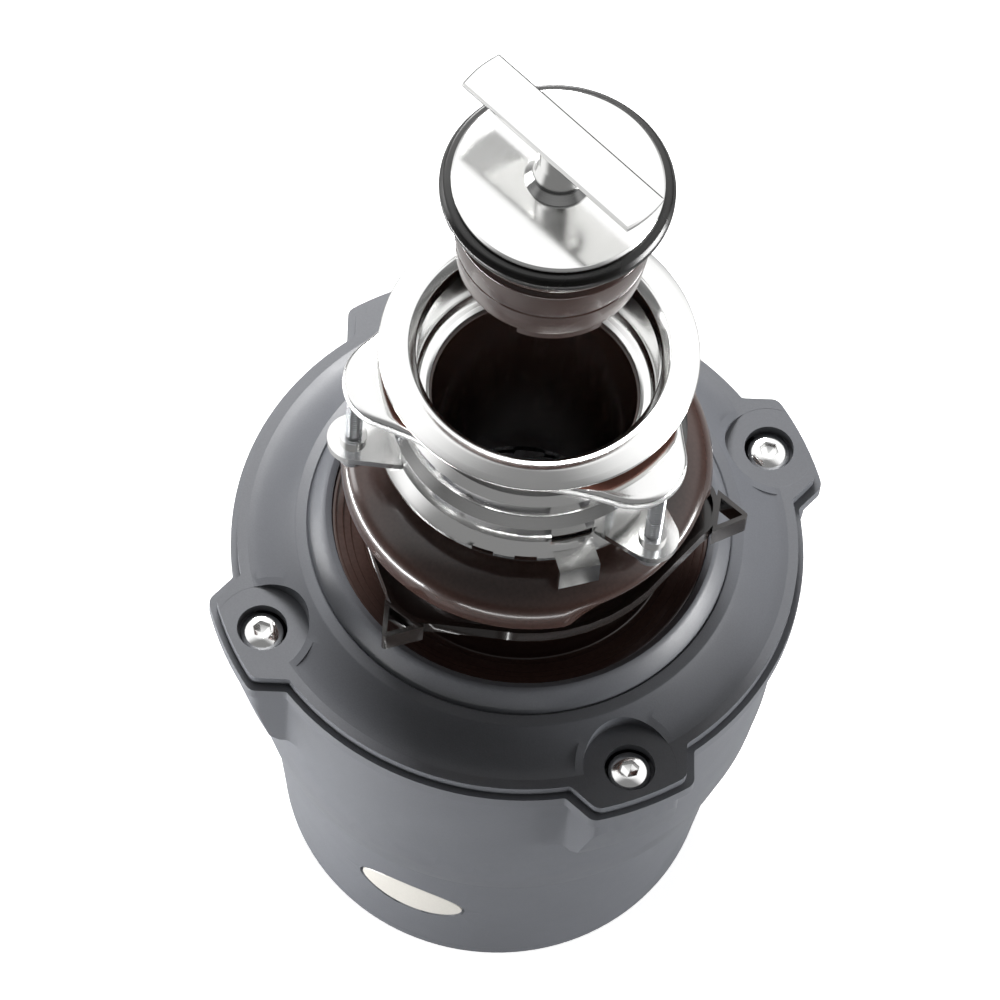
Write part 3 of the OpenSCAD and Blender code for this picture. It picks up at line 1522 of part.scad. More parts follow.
stopper_handle();
stopper_stem();
stopper_disc();
stopper_body();
stopper_seal();
stopper_magnets();
sink_flange();
flange_gasket();
backup_flange();
mounting_screws();
mounting_ring();
snap_ring();
mount_dome();
vibration_mount();
locking_ring();
mount_clamp();
top_cover();
cover_screws();
seam_seal();
upper_shell();
lower_shell();
badge_plate();
grind_chamber();
chamber_insulation();
grind_ring();
turntable();
impeller_pins();
impeller_a();
impeller_b();
turntable_nut();
end_bell();
chamber_gasket();
shaft_seal();
upper_bearing();
shaft();
rotor_core();
slinger();
stator_core();
stator_windings();
lower_frame();
lower_bearing();
through_bolts();
start_switch();
capacitor();
overload_protector();
reset_button();
terminal_cover();
terminal_screw();
conduit_bushing();
discharge_outlet();
outlet_gasket();
outlet_bolts();
dishwasher_inlet();
inlet_plug();
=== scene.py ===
"""Dresses the CAD frame of a kitchen food waste disposer.

Lengths in the tables are millimetres, and Blender gets metres.
"""

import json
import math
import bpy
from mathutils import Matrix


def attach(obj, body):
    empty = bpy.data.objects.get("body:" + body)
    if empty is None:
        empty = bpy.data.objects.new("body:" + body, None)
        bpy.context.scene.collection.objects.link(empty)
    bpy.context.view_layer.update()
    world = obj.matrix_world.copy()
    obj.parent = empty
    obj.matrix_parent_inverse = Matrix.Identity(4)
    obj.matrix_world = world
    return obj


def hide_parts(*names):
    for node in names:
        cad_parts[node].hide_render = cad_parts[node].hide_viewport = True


bl_info = {
    "name": "Food Waste Disposer Dressing",
    "version": (1, 0, 0),
    "blender": (4, 5, 0),
    "location": "3D View > Sidebar > Disposer",
    "description": "Builds the finished pieces, materials and studio of a food waste disposer",
    "category": "Object",
}

import bmesh
import bpy
from mathutils import Matrix, Vector

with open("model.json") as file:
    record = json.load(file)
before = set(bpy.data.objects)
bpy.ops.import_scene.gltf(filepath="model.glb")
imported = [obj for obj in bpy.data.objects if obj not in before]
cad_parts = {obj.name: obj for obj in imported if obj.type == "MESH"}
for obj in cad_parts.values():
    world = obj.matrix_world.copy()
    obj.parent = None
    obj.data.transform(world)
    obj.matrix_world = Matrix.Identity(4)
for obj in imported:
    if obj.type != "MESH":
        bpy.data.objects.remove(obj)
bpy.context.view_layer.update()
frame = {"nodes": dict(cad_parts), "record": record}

MM = 0.001

# Clearance between seated faces, and between fitted ones
SEAT_GAP = 0.3
FIT_GAP = 0.05

# Heights, lengths and angles that follow the source of the part
CROWN_Z = 347.0
FLANGE_R = 57.15
FLANGE_CROWN = 2.6
SLEEVE_R = 44.45
SLEEVE_WALL = 1.3
SLEEVE_Z = 292.0
SEAT_Z = 316.0
THROAT_R = 37.8
GASKET_T = 1.6
BACKUP_Z = 332.3
BACKUP_T = 5.2
LOBE_R = 70.5
LOBE_ROUND = 19.0
LOBE_ANGLES = (76.0, 196.0, 316.0)
BOLT_RING_R = 65.5
BOLT_R = 3.1
EAR_Z = 296.3
DOME_Z = 259.2
DOME_TOP_Z = 291.2
DOME_R = 68.0
NECK_R = 50.0
NECK_BORE_R = 36.8
COLLAR_TOP_Z = 313.3
SKIRT_Z = 214.5
SKIRT_R = 70.0
LOCK_Z = 241.5
SCREW_RING_R = 103.3
SCREW_SEAT_Z = 200.0
SCREW_HEAD_R = 8.2
SCREW_HEAD_H = 3.8
LUG_ANGLES = (28.5, 118.5, 208.5, 298.5)
BEAD_Z = 449.3
BEAD_H = 7.0
BEAD_R = 40.2
DISC_R = 36.5
DISC_T = 2.0
HANDLE_L = 80.0
HANDLE_W = 17.5
HANDLE_T = 3.0
HANDLE_RISE = 24.0
HANDLE_ANGLE = -40.0
PLUG_R = 36.2
PLUG_LOW_R = 32.5
PLUG_L = 40.0
KEY_ANGLE = -78.0
KEY_SPAN = 56.0
KEY_H = 5.0
CHAMBER_NECK_R = 48.8

# Points closer than this are one, in millimetres
MERGE_MM = 0.002

# Faces that turn by less than the first are joined, and edges that turn by more than the second are
# rounded, in degrees
FLAT_ANGLE = 0.6
BEVEL_ANGLE = 38

# A noise texture mostly keeps between these values
NOISE_LOW = 0.3
NOISE_HIGH = 0.7

COAT_ROUGHNESS = 0.08

# The camera's place, the point on the axis that every lamp faces, half the floor's side and how far
# the floor lies below the base, in metres
CAMERA_SPOT = (-0.0083, -1.076, 2.173)
LAMP_TARGET = (0, 0, 0.14)
FLOOR_HALF = 6
FLOOR_DROP = 0.0002


def linear(code):
    """A linear colour with alpha from an sRGB hex code."""
    parts = [int(code[i:i + 2], 16) / 255 for i in (0, 2, 4)]
    return [p / 12.92 if p <= 0.04045 else ((p + 0.055) / 1.055) ** 2.4 for p in parts] + [1.0]


def add(tree, kind, settings=(), links=()):
    """Adds a node to a tree, gives it its settings and joins its inputs to the given outputs.

    A setting whose key is a number or starts with a capital goes to that input, any other to the node.
    """
    made = tree.nodes.new(kind)
    for key, value in dict(settings).items():
        if isinstance(key, int) or key[0].isupper():
            made.inputs[key].default_value = value
        else:
            setattr(made, key, value)
    for key, source in dict(links).items():
        tree.links.new(source, made.inputs[key])
    return made


def new_material(name):
    """An empty node material with its output and its Principled shader."""
    material = bpy.data.materials.new(name)
    material.use_nodes = True
    tree = material.node_tree
    tree.nodes.clear()
    shader = add(tree, "ShaderNodeBsdfPrincipled")
    add(tree, "ShaderNodeOutputMaterial", links={"Surface": shader.outputs[0]})
    return material, tree, shader


def noise(tree, source, scale, detail, roughness=0.5):
    """A noise of so many patches to the metre over the given place."""
    return add(tree, "ShaderNodeTexNoise", {"Scale": scale, "Detail": detail, "Roughness": roughness},
               {"Vector": source})


def spread(tree, source, low, high):
    """Stretches a noise over the values from low to high."""
    # Inputs 1 and 2 are the range that comes in, and 3 and 4 the range that goes out
    return add(tree, "ShaderNodeMapRange", {1: NOISE_LOW, 2: NOISE_HIGH, 3: low, 4: high},
               {0: source.outputs["Fac"]})


def bump(tree, source, depth_mm):
    """Turns a value into relief of the given depth."""
    return add(tree, "ShaderNodeBump", {"Strength": 1.0, "Distance": depth_mm * MM}, {"Height": source})


def dress(tree, shader, tone, gloss, relief, metallic):
    """Joins the colour, the gloss and the relief of a finish to its shader."""
    tree.links.new(tone.outputs[2], shader.inputs["Base Color"])
    tree.links.new(gloss.outputs[0], shader.inputs["Roughness"])
    tree.links.new(relief.outputs[0], shader.inputs["Normal"])
    shader.inputs["Metallic"].default_value = metallic


def mottled(name, code, dark, metallic, rough, rough_span, grain_mm, bump_mm, patch_mm=40.0, coat=0.0):
    """A surface with a fine grain in its relief, slow patches in its colour and an uneven gloss.

    dark is how far the colour strays to either side, and rough_span how far the roughness does.
    """
    material, tree, shader = new_material(name)
    spot = add(tree, "ShaderNodeTexCoord").outputs["Object"]
    grain = noise(tree, spot, 1000 / grain_mm, 3.0)
    patch = noise(tree, spot, 1000 / patch_mm, 4.0, 0.6)
    base = linear(code)
    low = [c * (1 - dark) for c in base[:3]] + [1.0]
    high = [min(1.0, c * (1 + dark)) for c in base[:3]] + [1.0]
    tone = add(tree, "ShaderNodeMix", {"data_type": "RGBA", 6: low, 7: high}, {0: patch.outputs["Fac"]})
    speck = spread(tree, grain, 1 - dark, 1 + dark)
    final = add(tree, "ShaderNodeMix", {"data_type": "RGBA", "blend_type": "MULTIPLY", 0: 1.0},
                {6: tone.outputs[2], 7: speck.outputs[0]})
    gloss = spread(tree, patch, rough - rough_span, rough + rough_span)
    relief = bump(tree, grain.outputs["Fac"], bump_mm)
    dress(tree, shader, final, gloss, relief, metallic)
    shader.inputs["Coat Weight"].default_value = coat
    shader.inputs["Coat Roughness"].default_value = COAT_ROUGHNESS
    return material


def turned_steel(name, code, rough, line_mm, bump_mm):
    """Steel with fine lines round the Z axis, left by polishing on a spindle."""
    material, tree, shader = new_material(name)
    spot = add(tree, "ShaderNodeTexCoord").outputs["Object"]
    split = add(tree, "ShaderNodeSeparateXYZ", links={0: spot})
    flat = add(tree, "ShaderNodeCombineXYZ", links={0: split.outputs[0], 1: split.outputs[1]})
    reach = add(tree, "ShaderNodeVectorMath", {"operation": "LENGTH"}, {0: flat.outputs[0]})
    line = add(tree, "ShaderNodeCombineXYZ", links={0: reach.outputs["Value"], 2: split.outputs[2]})
    lines = noise(tree, line.outputs[0], 1000 / line_mm, 2.0)
    # Slow clouds of about 22 mm dull the polish and the colour a little
    cloud = noise(tree, spot, 45.0, 3.0)
    gloss = spread(tree, cloud, rough * 0.7, rough * 1.4)
    relief = bump(tree, lines.outputs["Fac"], bump_mm)
    base = linear(code)
    dull = [c * 0.93 for c in base[:3]] + [1.0]
    tone = add(tree, "ShaderNodeMix", {"data_type": "RGBA", 6: dull, 7: base}, {0: cloud.outputs["Fac"]})
    dress(tree, shader, tone, gloss, relief, 1.0)
    return material


def cast_zinc(name):
    """Cast zinc with a polished top and bottom and a speckled edge as it left the mould."""
    material, tree, shader = new_material(name)
    spot = add(tree, "ShaderNodeTexCoord").outputs["Object"]
    up = add(tree, "ShaderNodeNewGeometry")
    split = add(tree, "ShaderNodeSeparateXYZ", links={0: up.outputs["Normal"]})
    side = add(tree, "ShaderNodeMath", {"operation": "ABSOLUTE"}, {0: split.outputs[2]})
    # The more upright a face, the rougher it was left
    raw = add(tree, "ShaderNodeMapRange", {1: 0.35, 2: 0.85, 3: 1.0, 4: 0.0}, {0: side.outputs[0]})
    # Casting pits of about 0.8 mm, and slow waves of about 17 mm in the colour
    pits = noise(tree, spot, 1250.0, 3.0)
    wave = noise(tree, spot, 60.0, 2.0)
    height = add(tree, "ShaderNodeMath", {"operation": "MULTIPLY"},
                 {0: pits.outputs["Fac"], 1: raw.outputs[0]})
    relief = bump(tree, height.outputs[0], 0.35)
    gloss = add(tree, "ShaderNodeMapRange", {1: 0.0, 2: 1.0, 3: 0.12, 4: 0.36}, {0: raw.outputs[0]})
    tone = add(tree, "ShaderNodeMix", {"data_type": "RGBA", 6: linear("E2E2E1"), 7: linear("F2F2F1")},
               {0: wave.outputs["Fac"]})
    dress(tree, shader, tone, gloss, relief, 1.0)
    return material


def make_materials():
    """Every finish of the part, by the name of its material slot in the record."""
    look = bpy.context.scene.disposer_finish
    # The numbers of a mottled finish: how far the colour strays, the share of metal, the roughness and
    # how far it strays, and the width of the grain and its depth in millimetres
    return {
        # Moulded polypropylene with an eroded grain: soft sheen, grain of 0.6 mm
        "shell_plastic": mottled("moulded_grey_polypropylene", look.shell_hex, 0.05, 0.0,
                                 0.42, 0.05, 0.6, 0.03),
        # Spun stainless steel, polished on a spindle: lines of 0.5 mm
        "bright_steel": turned_steel("polished_stainless_steel", look.steel_hex, 0.13, 0.5, 0.004),
        "cast_zinc": cast_zinc("cast_zinc_polished_top"),
        # Zinc plated steel: faint clouds, less gloss than stainless
        "steel": mottled("zinc_plated_steel", "C4C6C9", 0.04, 1.0, 0.26, 0.06, 1.2, 0.006),
        # Moulded nitrile rubber: dark brown with a wet gloss
        "brown_rubber": mottled("moulded_brown_rubber", look.rubber_hex, 0.10, 0.0,
                                0.22, 0.05, 1.4, 0.006, coat=0.3),
        "black_rubber": mottled("moulded_black_rubber", "151413", 0.10, 0.0, 0.30, 0.06, 1.2, 0.01),
        # Electrophoretic black coat on pressed steel: thin and glossy
        "black_enamel": mottled("black_coated_steel", "2A2523", 0.08, 0.0, 0.20, 0.05, 0.9, 0.01, coat=0.5),
        # Pressed fibre gasket: matt red brown
        "fibre": mottled("pressed_fibre", "6E4438", 0.20, 0.0, 0.75, 0.05, 0.8, 0.05),
        # Die-cast aluminium: matt grey skin with grain of 1 mm
        "cast_metal": mottled("die_cast_aluminium", "A4A6A8", 0.06, 1.0, 0.46, 0.06, 1.0, 0.04),
        "hard_cast": mottled("nickel_hard_cast_iron", "7C7A77", 0.10, 1.0, 0.48, 0.08, 1.6, 0.08),
        # Enamelled copper wire: a grain of 0.9 mm stands for the strands
        "copper": mottled("enamelled_copper_wire", "B5692F", 0.18, 1.0, 0.30, 0.06, 0.9, 0.10, patch_mm=9),
        "bearing_bronze": mottled("sintered_bronze", "B08A4A", 0.10, 1.0, 0.42, 0.05, 0.7, 0.02),
        # Expanded polystyrene foam: beads of 3 mm
        "foam": mottled("expanded_foam", "55575B", 0.12, 0.0, 0.85, 0.05, 3.0, 0.30),
        "black_plastic": mottled("moulded_black_nylon", "1C1C1D", 0.08, 0.0, 0.38, 0.05, 0.6, 0.02),
        "red_plastic": mottled("moulded_red_acetal", "B5231C", 0.05, 0.0, 0.22, 0.04, 0.8, 0.01),
        # Silver-grey printed film, bare: faint satin
        "badge_film": mottled("bare_silver_film", look.badge_hex, 0.03, 0.15, 0.30, 0.04, 0.9, 0.006),
    }


def in_metres(points):
    """Points in millimetres as Blender vectors in metres."""
    return [Vector(p) * MM for p in points]


def soften(corners, steps=5):
    """A closed profile from (radius, height, fillet) corners, each rounded by its own fillet."""
    result = []
    count = len(corners)
    for i in range(count):
        here = Vector(corners[i][:2])
        fillet = corners[i][2]
        before = Vector(corners[i - 1][:2]) - here
        after = Vector(corners[(i + 1) % count][:2]) - here
        if fillet <= 0:
            result.append(here)
            continue
        angle = before.angle(after)
        cut = min(fillet / math.tan(angle / 2), before.length * 0.49, after.length * 0.49)
        start = here + before.normalized() * cut
        end = here + after.normalized() * cut
        for step in range(steps + 1):
            t = step / steps
            result.append(start * (1 - t) ** 2 + here * (2 * t * (1 - t)) + end * t ** 2)
    return result


def closed_mesh(name, points, faces):
    """A mesh of the given points in millimetres, with its doubles merged and its faces pointing outwards."""
    mesh = bpy.data.meshes.new(name)
    mesh.from_pydata(in_metres(points), [], faces)
    work = bmesh.new()
    work.from_mesh(mesh)
    bmesh.ops.remove_doubles(work, verts=work.verts, dist=MERGE_MM * MM)
    bmesh.ops.recalc_face_normals(work, faces=work.faces)
    work.to_mesh(mesh)
    work.free()
    return mesh


def smooth(mesh, limit=32.0):
    """Shades a mesh smooth, and keeps the edges that turn by more than the limit sharp."""
    mesh.polygons.foreach_set("use_smooth", [True] * len(mesh.polygons))
    mesh.set_sharp_from_angle(angle=math.radians(limit))
    mesh.update()


def place(name, mesh, slot, body, nodes=(), limit=32.0):
    """Puts a mesh in the scene as one piece on its body, in place of the CAD nodes that it stands for."""
    if limit:
        smooth(mesh, limit)
    piece = bpy.data.objects.new(name, mesh)
    bpy.context.collection.objects.link(piece)
    mesh.materials.clear()
    mesh.materials.append(bpy.data.materials[FINISH[slot]])
    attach(piece, body)
    if nodes:
        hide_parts(*nodes)


def turned(name, corners, segments=144, reach=None):
    """A solid turned about Z from (radius, height, fillet) corners. reach(radius, height, angle) bends it."""
    profile = soften(corners)
    count = len(profile)
    points, faces = [], []
    for s in range(segments):
        angle = 2 * math.pi * s / segments
        for r, z in profile:
            if reach:
                r, z = reach(r, z, math.degrees(angle))
            points.append((r * math.cos(angle), r * math.sin(angle), z))
    for s in range(segments):
        t = (s + 1) % segments
        for i in range(count):
            j = (i + 1) % count
            faces.append((s * count + i, t * count + i, t * count + j, s * count + j))
    return closed_mesh(name, points, faces)


def lofted(name, rings):
    """A closed solid through rings of equal count, the last ring joined to the first."""
    count = len(rings[0])
    points = [p for ring in rings for p in ring]
    faces = []
    for k in range(len(rings)):
        m = (k + 1) % len(rings)
        for i in range(count):
            j = (i + 1) % count
            faces.append((k * count + i, k * count + j, m * count + j, m * count + i))
    return closed_mesh(name, points, faces)


def capped(name, rings):
    """A solid through rings of equal count, closed by a face at either end."""
    count = len(rings[0])
    points = [p for ring in rings for p in ring]
    faces = [tuple(range(count)), tuple(range(len(points) - count, len(points)))]
    for k in range(len(rings) - 1):
        for i in range(count):
            j = (i + 1) % count
            faces.append((k * count + i, k * count + j, (k + 1) * count + j, (k + 1) * count + i))
    return closed_mesh(name, points, faces)


def merged_copy(node, bevel_mm=0.0):
    """A merged, smooth copy of a CAD node's mesh. Its sharp edges are rounded when a width is given."""
    mesh = frame["nodes"][node].data.copy()
    work = bmesh.new()
    work.from_mesh(mesh)
    bmesh.ops.remove_doubles(work, verts=work.verts, dist=MERGE_MM * MM)
    bmesh.ops.dissolve_limit(work, angle_limit=math.radians(FLAT_ANGLE), verts=work.verts, edges=work.edges)
    work.to_mesh(mesh)
    work.free()
    for layer in list(mesh.uv_layers):
        mesh.uv_layers.remove(layer)
    holder = bpy.data.objects.new("holder", mesh)
    bpy.context.collection.objects.link(holder)
    if bevel_mm:
        mesh.polygons.foreach_set("use_smooth", [True] * len(mesh.polygons))
        cut = holder.modifiers.new("edge", "BEVEL")
        cut.width = bevel_mm * MM
        cut.segments = 2
        cut.limit_method = "ANGLE"
        cut.angle_limit = math.radians(BEVEL_ANGLE)
        cut.use_clamp_overlap = True
        cut.miter_outer = "MITER_ARC"
    else:
        smooth(mesh, 30)
    # Flat faces stay flat in the light, and only the rounded edges turn
    level = holder.modifiers.new("level", "WEIGHTED_NORMAL")
    level.mode = "FACE_AREA"
    level.weight = 100
    level.keep_sharp = not bevel_mm
    return evaluated(holder)


def true_round(mesh, limit=14.0):
    """Gives the round walls about Z the normals of the true round form, whatever their facets are.

    A normal that is off by more than the limit, in degrees, isn't on such a wall and stays.
    """
    steep_z = 0.2
    level_share = 0.3
    wanted = []
    for face in mesh.polygons:
        # A steep wall keeps its own slope, and a rounding takes the smooth one
        steep = abs(face.normal.z) < steep_z
        for corner in face.loop_indices:
            smooth_normal = mesh.corner_normals[corner].vector.copy()
            normal = face.normal if steep else smooth_normal
            flat = normal.xy
            out = mesh.vertices[mesh.loops[corner].vertex_index].co.xy
            # Nearly level faces, and what lies on the axis, have no round form to follow
            if flat.length < level_share or out.length < MM:
                wanted.append(smooth_normal)
                continue
            away = flat.dot(out) > 0
            out = out.normalized() * (flat.length if away else -flat.length)
            near = math.degrees(flat.angle(out)) < limit
            wanted.append(Vector((out.x, out.y, normal.z)) if near else smooth_normal)
    mesh.normals_split_custom_set(wanted)


def evaluated(holder):
    """The plain mesh of an object with its modifiers applied. The object itself is removed."""
    graph = bpy.context.evaluated_depsgraph_get()
    mesh = bpy.data.meshes.new_from_object(holder.evaluated_get(graph))
    bpy.data.objects.remove(holder)
    return mesh


def ring_tree(name, slot):
    """A Geometry Nodes tree that sets a piece round the Z axis at a list of even angles."""
    tree = bpy.data.node_groups.new(name, "GeometryNodeTree")
    face = tree.interface
    face.new_socket("Geometry", in_out="INPUT", socket_type="NodeSocketGeometry")
    sockets = {}
    for label, kind in (("Count", "NodeSocketInt"), ("Radius", "NodeSocketFloat"),
                        ("First Angle", "NodeSocketFloat"), ("Seed", "NodeSocketInt")):
        sockets[label] = face.new_socket(label, in_out="INPUT", socket_type=kind).identifier
    face.new_socket("Geometry", in_out="OUTPUT", socket_type="NodeSocketGeometry")
    given = add(tree, "NodeGroupInput")
    ring = add(tree, "GeometryNodeMeshCircle", links={"Vertices": given.outputs["Count"],
                                                      "Radius": given.outputs["Radius"]})
    spin = add(tree, "ShaderNodeCombineXYZ", links={2: given.outputs["First Angle"]})
    turned_ring = add(tree, "GeometryNodeTransform",
                      links={"Geometry": ring.outputs[0], "Rotation": spin.outputs[0]})
    where = add(tree, "GeometryNodeInputPosition")
    turn = add(tree, "FunctionNodeAlignRotationToVector", {"axis": "X"}, {"Vector": where.outputs[0]})
    # Each copy is turned by a chance angle about its own axis, as a driven screw is
    chance = add(tree, "FunctionNodeRandomValue", {"data_type": "FLOAT", 2: 0.0, 3: 1.0},
                 {"Seed": given.outputs["Seed"]})
    twist = add(tree, "ShaderNodeCombineXYZ", links={2: chance.outputs[1]})
    both = add(tree, "FunctionNodeRotateRotation", {"rotation_space": "LOCAL"},
               {0: turn.outputs[0], 1: twist.outputs[0]})
    copies = add(tree, "GeometryNodeInstanceOnPoints",
                 links={"Points": turned_ring.outputs[0], "Instance": given.outputs["Geometry"],
                        "Rotation": both.outputs[0]})
    real = add(tree, "GeometryNodeRealizeInstances", links={"Geometry": copies.outputs[0]})
    finish = add(tree, "GeometryNodeSetMaterial", {"Material": bpy.data.materials[FINISH[slot]]},
                 {"Geometry": real.outputs[0]})
    add(tree, "NodeGroupOutput", links={"Geometry": finish.outputs[0]})
    return tree, sockets


def set_round(name, mesh, slot, count, radius, first_angle, seed=1):
    """One mesh with copies of the given one set round the Z axis by Geometry Nodes."""
    tree, sockets = ring_tree(name + "_ring", slot)
    holder = bpy.data.objects.new(name + "_seed", mesh)
    bpy.context.collection.objects.link(holder)
    modifier = holder.modifiers.new("ring", "NODES")
    modifier.node_group = tree
    modifier[sockets["Count"]] = count
    modifier[sockets["Radius"]] = radius * MM
    modifier[sockets["First Angle"]] = math.radians(first_angle)
    modifier[sockets["Seed"]] = seed
    return evaluated(holder)


def polar(radius, angle, z):
    """A point from its radius, its angle in degrees and its height."""
    a = math.radians(angle)
    return (radius * math.cos(a), radius * math.sin(a), z)


def circle(radius, z, segments):
    """The points of a level circle about the axis."""
    return [polar(radius, 360 * i / segments, z) for i in range(segments)]


# The material's name by slot, filled in when the finishes are made
FINISH = {}

# The material slot of every CAD node, as the record has it
SLOT_OF = {part["node"]: part["material_slot"] for part in frame["record"]["subparts"]}


class DisposerFinish(bpy.types.PropertyGroup):
    """Colours that a user would change."""

    shell_hex: bpy.props.StringProperty(
        name="Shell colour", description="sRGB hex colour of the moulded shells and cover", default="63656A")
    rubber_hex: bpy.props.StringProperty(
        name="Rubber colour", description="sRGB hex colour of the rubber mount and the plug",
        default="402E29")
    steel_hex: bpy.props.StringProperty(
        name="Steel colour", description="sRGB hex colour of the polished stainless steel", default="F0F0EF")
    badge_hex: bpy.props.StringProperty(
        name="Badge colour", description="sRGB hex colour of the bare badge", default="D9D6CF")


class DisposerSizes(bpy.types.PropertyGroup):
    """Sizes of the details that are finer than the CAD solids."""

    edge_round: bpy.props.FloatProperty(
        name="Edge rounding", description="Rounding of moulded and pressed edges, in millimetres",
        default=0.45, min=0.0, max=1.0)
    thread_pitch: bpy.props.FloatProperty(
        name="Thread pitch", description="Pitch of the mounting screws' thread, in millimetres",
        default=1.5, min=0.8, max=2.5)
    socket_width: bpy.props.FloatProperty(
        name="Socket width", description="Width of the hexagon in the cover screws, in millimetres",
        default=6.0, min=4.0, max=8.0)


class DisposerStudio(bpy.types.PropertyGroup):
    """The camera and the lights."""

    lens: bpy.props.FloatProperty(
        name="Lens", description="Focal length of the camera, in millimetres",
        default=216.0, min=50.0, max=400.0)
    pitch: bpy.props.FloatProperty(
        name="Pitch", description="Angle of the camera below the horizon",
        default=math.radians(61.0), subtype="ANGLE")
    roll: bpy.props.FloatProperty(
        name="Roll", description="Roll of the camera", default=math.radians(6.0), subtype="ANGLE")
    key_power: bpy.props.FloatProperty(
        name="Key light", description="Power of the large light behind the object",
        default=46.0, subtype="POWER")
    left_power: bpy.props.FloatProperty(
        name="Left light", description="Power of the light at the left", default=8.0, subtype="POWER")
    right_power: bpy.props.FloatProperty(
        name="Right light", description="Power of the light at the right", default=29.0, subtype="POWER")
    strip_left_power: bpy.props.FloatProperty(
        name="Left strip", description="Power of the strip over the floor at the left",
        default=3.8, subtype="POWER")
    strip_front_power: bpy.props.FloatProperty(
        name="Front strip", description="Power of the strip over the floor in front",
        default=1.0, subtype="POWER")
    sky: bpy.props.FloatProperty(
        name="Sky", description="Strength of the even light from all round", default=0.08, min=0.0, max=1.0)


class DISPOSER_OT_materials(bpy.types.Operator):
    """Make every finish and give it to the CAD nodes"""

    bl_idname = "disposer.materials"
    bl_label = "Finishes"

    def execute(self, context):
        for slot, material in make_materials().items():
            FINISH[slot] = material.name
        for node, piece in frame["nodes"].items():
            piece.data.materials.clear()
            piece.data.materials.append(bpy.data.materials[FINISH[SLOT_OF[node]]])
        return {"FINISHED"}


class DISPOSER_OT_stopper(bpy.types.Operator):
    """Build the lifted stopper: bar handle, flared stem, mirror disc, bead and grooved plug"""

    bl_idname = "disposer.stopper"
    bl_label = "Stopper"

    def execute(self, context):
        disc_z = BEAD_Z + BEAD_H
        top = disc_z + DISC_T
        bar_low = top + HANDLE_RISE - HANDLE_T

        # The bar's plan: straight sides and ends that follow a circle round the stem
        half_l = HANDLE_L / 2
        half_w = HANDLE_W / 2
        end_a = math.degrees(math.asin(half_w / half_l))
        steps = 10
        plan = [(half_l, middle - end_a + 2 * end_a * i / steps)
                for middle in (0, 180) for i in range(steps + 1)]
        turn = math.radians(HANDLE_ANGLE)
        # Rounded below; above, a chamfer of 0.6 mm that shows as a thin dark line all round
        shares = ((0.96, 0.0), (0.99, 0.25), (1.0, 0.6), (1.0, 0.86), (0.965, 1.0))
        rings = []
        for share, lift in shares:
            inset = (1 - share) * HANDLE_W
            ring = []
            for r, a in plan:
                x, y, _ = polar(r, a, 0)
                x *= (half_l - inset) / half_l
                y *= (half_w - inset) / half_w
                ring.append((x * math.cos(turn) - y * math.sin(turn),
                             x * math.sin(turn) + y * math.cos(turn), bar_low + lift * HANDLE_T))
            rings.append(ring)
        bar = capped("handle_bar", rings)
        place("handle_bar", bar, "bright_steel", "stopper", ["stopper_handle"], limit=28)

        stem = turned("handle_stem", [
            (0.0, top - 0.2, 0), (12.0, top - 0.2, 0.3), (11.6, top + 0.8, 0.8), (8.4, top + 4.5, 5.0),
            (7.3, top + 11.0, 3.0), (7.5, bar_low + 0.2, 0), (0.0, bar_low + 0.2, 0)], segments=64)
        place("handle_stem", stem, "bright_steel", "stopper", ["stopper_stem"])

        disc = turned("mirror_disc", [
            (0.0, disc_z, 0), (DISC_R - 0.8, disc_z, 0.2), (DISC_R, disc_z + 0.7, 0.4),
            (DISC_R - 0.2, disc_z + 1.4, 0.3), (DISC_R - 1.1, top - 0.1, 0.6), (0.0, top, 0)], segments=160)
        place("mirror_disc", disc, "bright_steel", "stopper", ["stopper_disc"], limit=24)

        bead = turned("sealing_bead", [
            (PLUG_R + FIT_GAP, BEAD_Z, 0), (BEAD_R - 2.4, BEAD_Z, 1.6), (BEAD_R, BEAD_Z + 2.2, 2.2),
            (BEAD_R, BEAD_Z + 4.6, 2.0), (BEAD_R - 1.4, BEAD_Z + BEAD_H, 1.3),
            (PLUG_R + FIT_GAP, BEAD_Z + BEAD_H, 0)], segments=160)
        place("sealing_bead", bead, "black_rubber", "stopper", ["stopper_seal"])

        foot = BEAD_Z - PLUG_L
        slant = (PLUG_R - PLUG_LOW_R) / PLUG_L

        def wall(z):
            """Radius of the plug's slanted wall at a height."""
            return PLUG_LOW_R + (z - foot) * slant

        hollow_r = PLUG_LOW_R - 3.0
        corners = [(0.0, foot + KEY_H, 0), (hollow_r, foot + KEY_H, 0.5), (hollow_r, foot, 0.4),
                   (PLUG_LOW_R, foot, 1.6)]
        # A fine parting line, then two grooves with a soft bead between them
        for level, depth, width in ((13.0, 0.35, 1.2), (28.5, 1.5, 4.0), (35.6, 1.6, 3.2)):
            z = foot + level
            corners += [(wall(z), z, width * 0.4), (wall(z) - depth, z + width * 0.4, width * 0.3),
                        (wall(z) - depth, z + width * 0.6, width * 0.3), (wall(z), z + width, width * 0.4)]
        corners += [(PLUG_R, BEAD_Z, 0), (PLUG_R, disc_z - FIT_GAP, 0), (0.0, disc_z - FIT_GAP, 0)]
        plug = turned("plug", corners, segments=160)
        place("plug", plug, "brown_rubber", "stopper", ["stopper_body"])

        # The key tab under the plug, a curved wall whose two end sections are a little shorter
        rings = []
        inner = PLUG_LOW_R - 4.2
        outer = PLUG_LOW_R - 1.2
        steps = 16
        for i in range(steps + 1):
            a = KEY_ANGLE + KEY_SPAN * (i / steps - 0.5)
            low = foot - KEY_H + (0.5 if i in (0, steps) else 0.0)
            section = ((inner, foot + 1.0), (outer, foot + 1.0), (outer, low + 0.8),
                       (outer - 0.7, low), (inner + 0.7, low), (inner, low + 0.8))
            rings.append([polar(r, a, z) for r, z in section])
        place("plug_key", capped("plug_key", rings), "brown_rubber", "stopper")
        return {"FINISHED"}


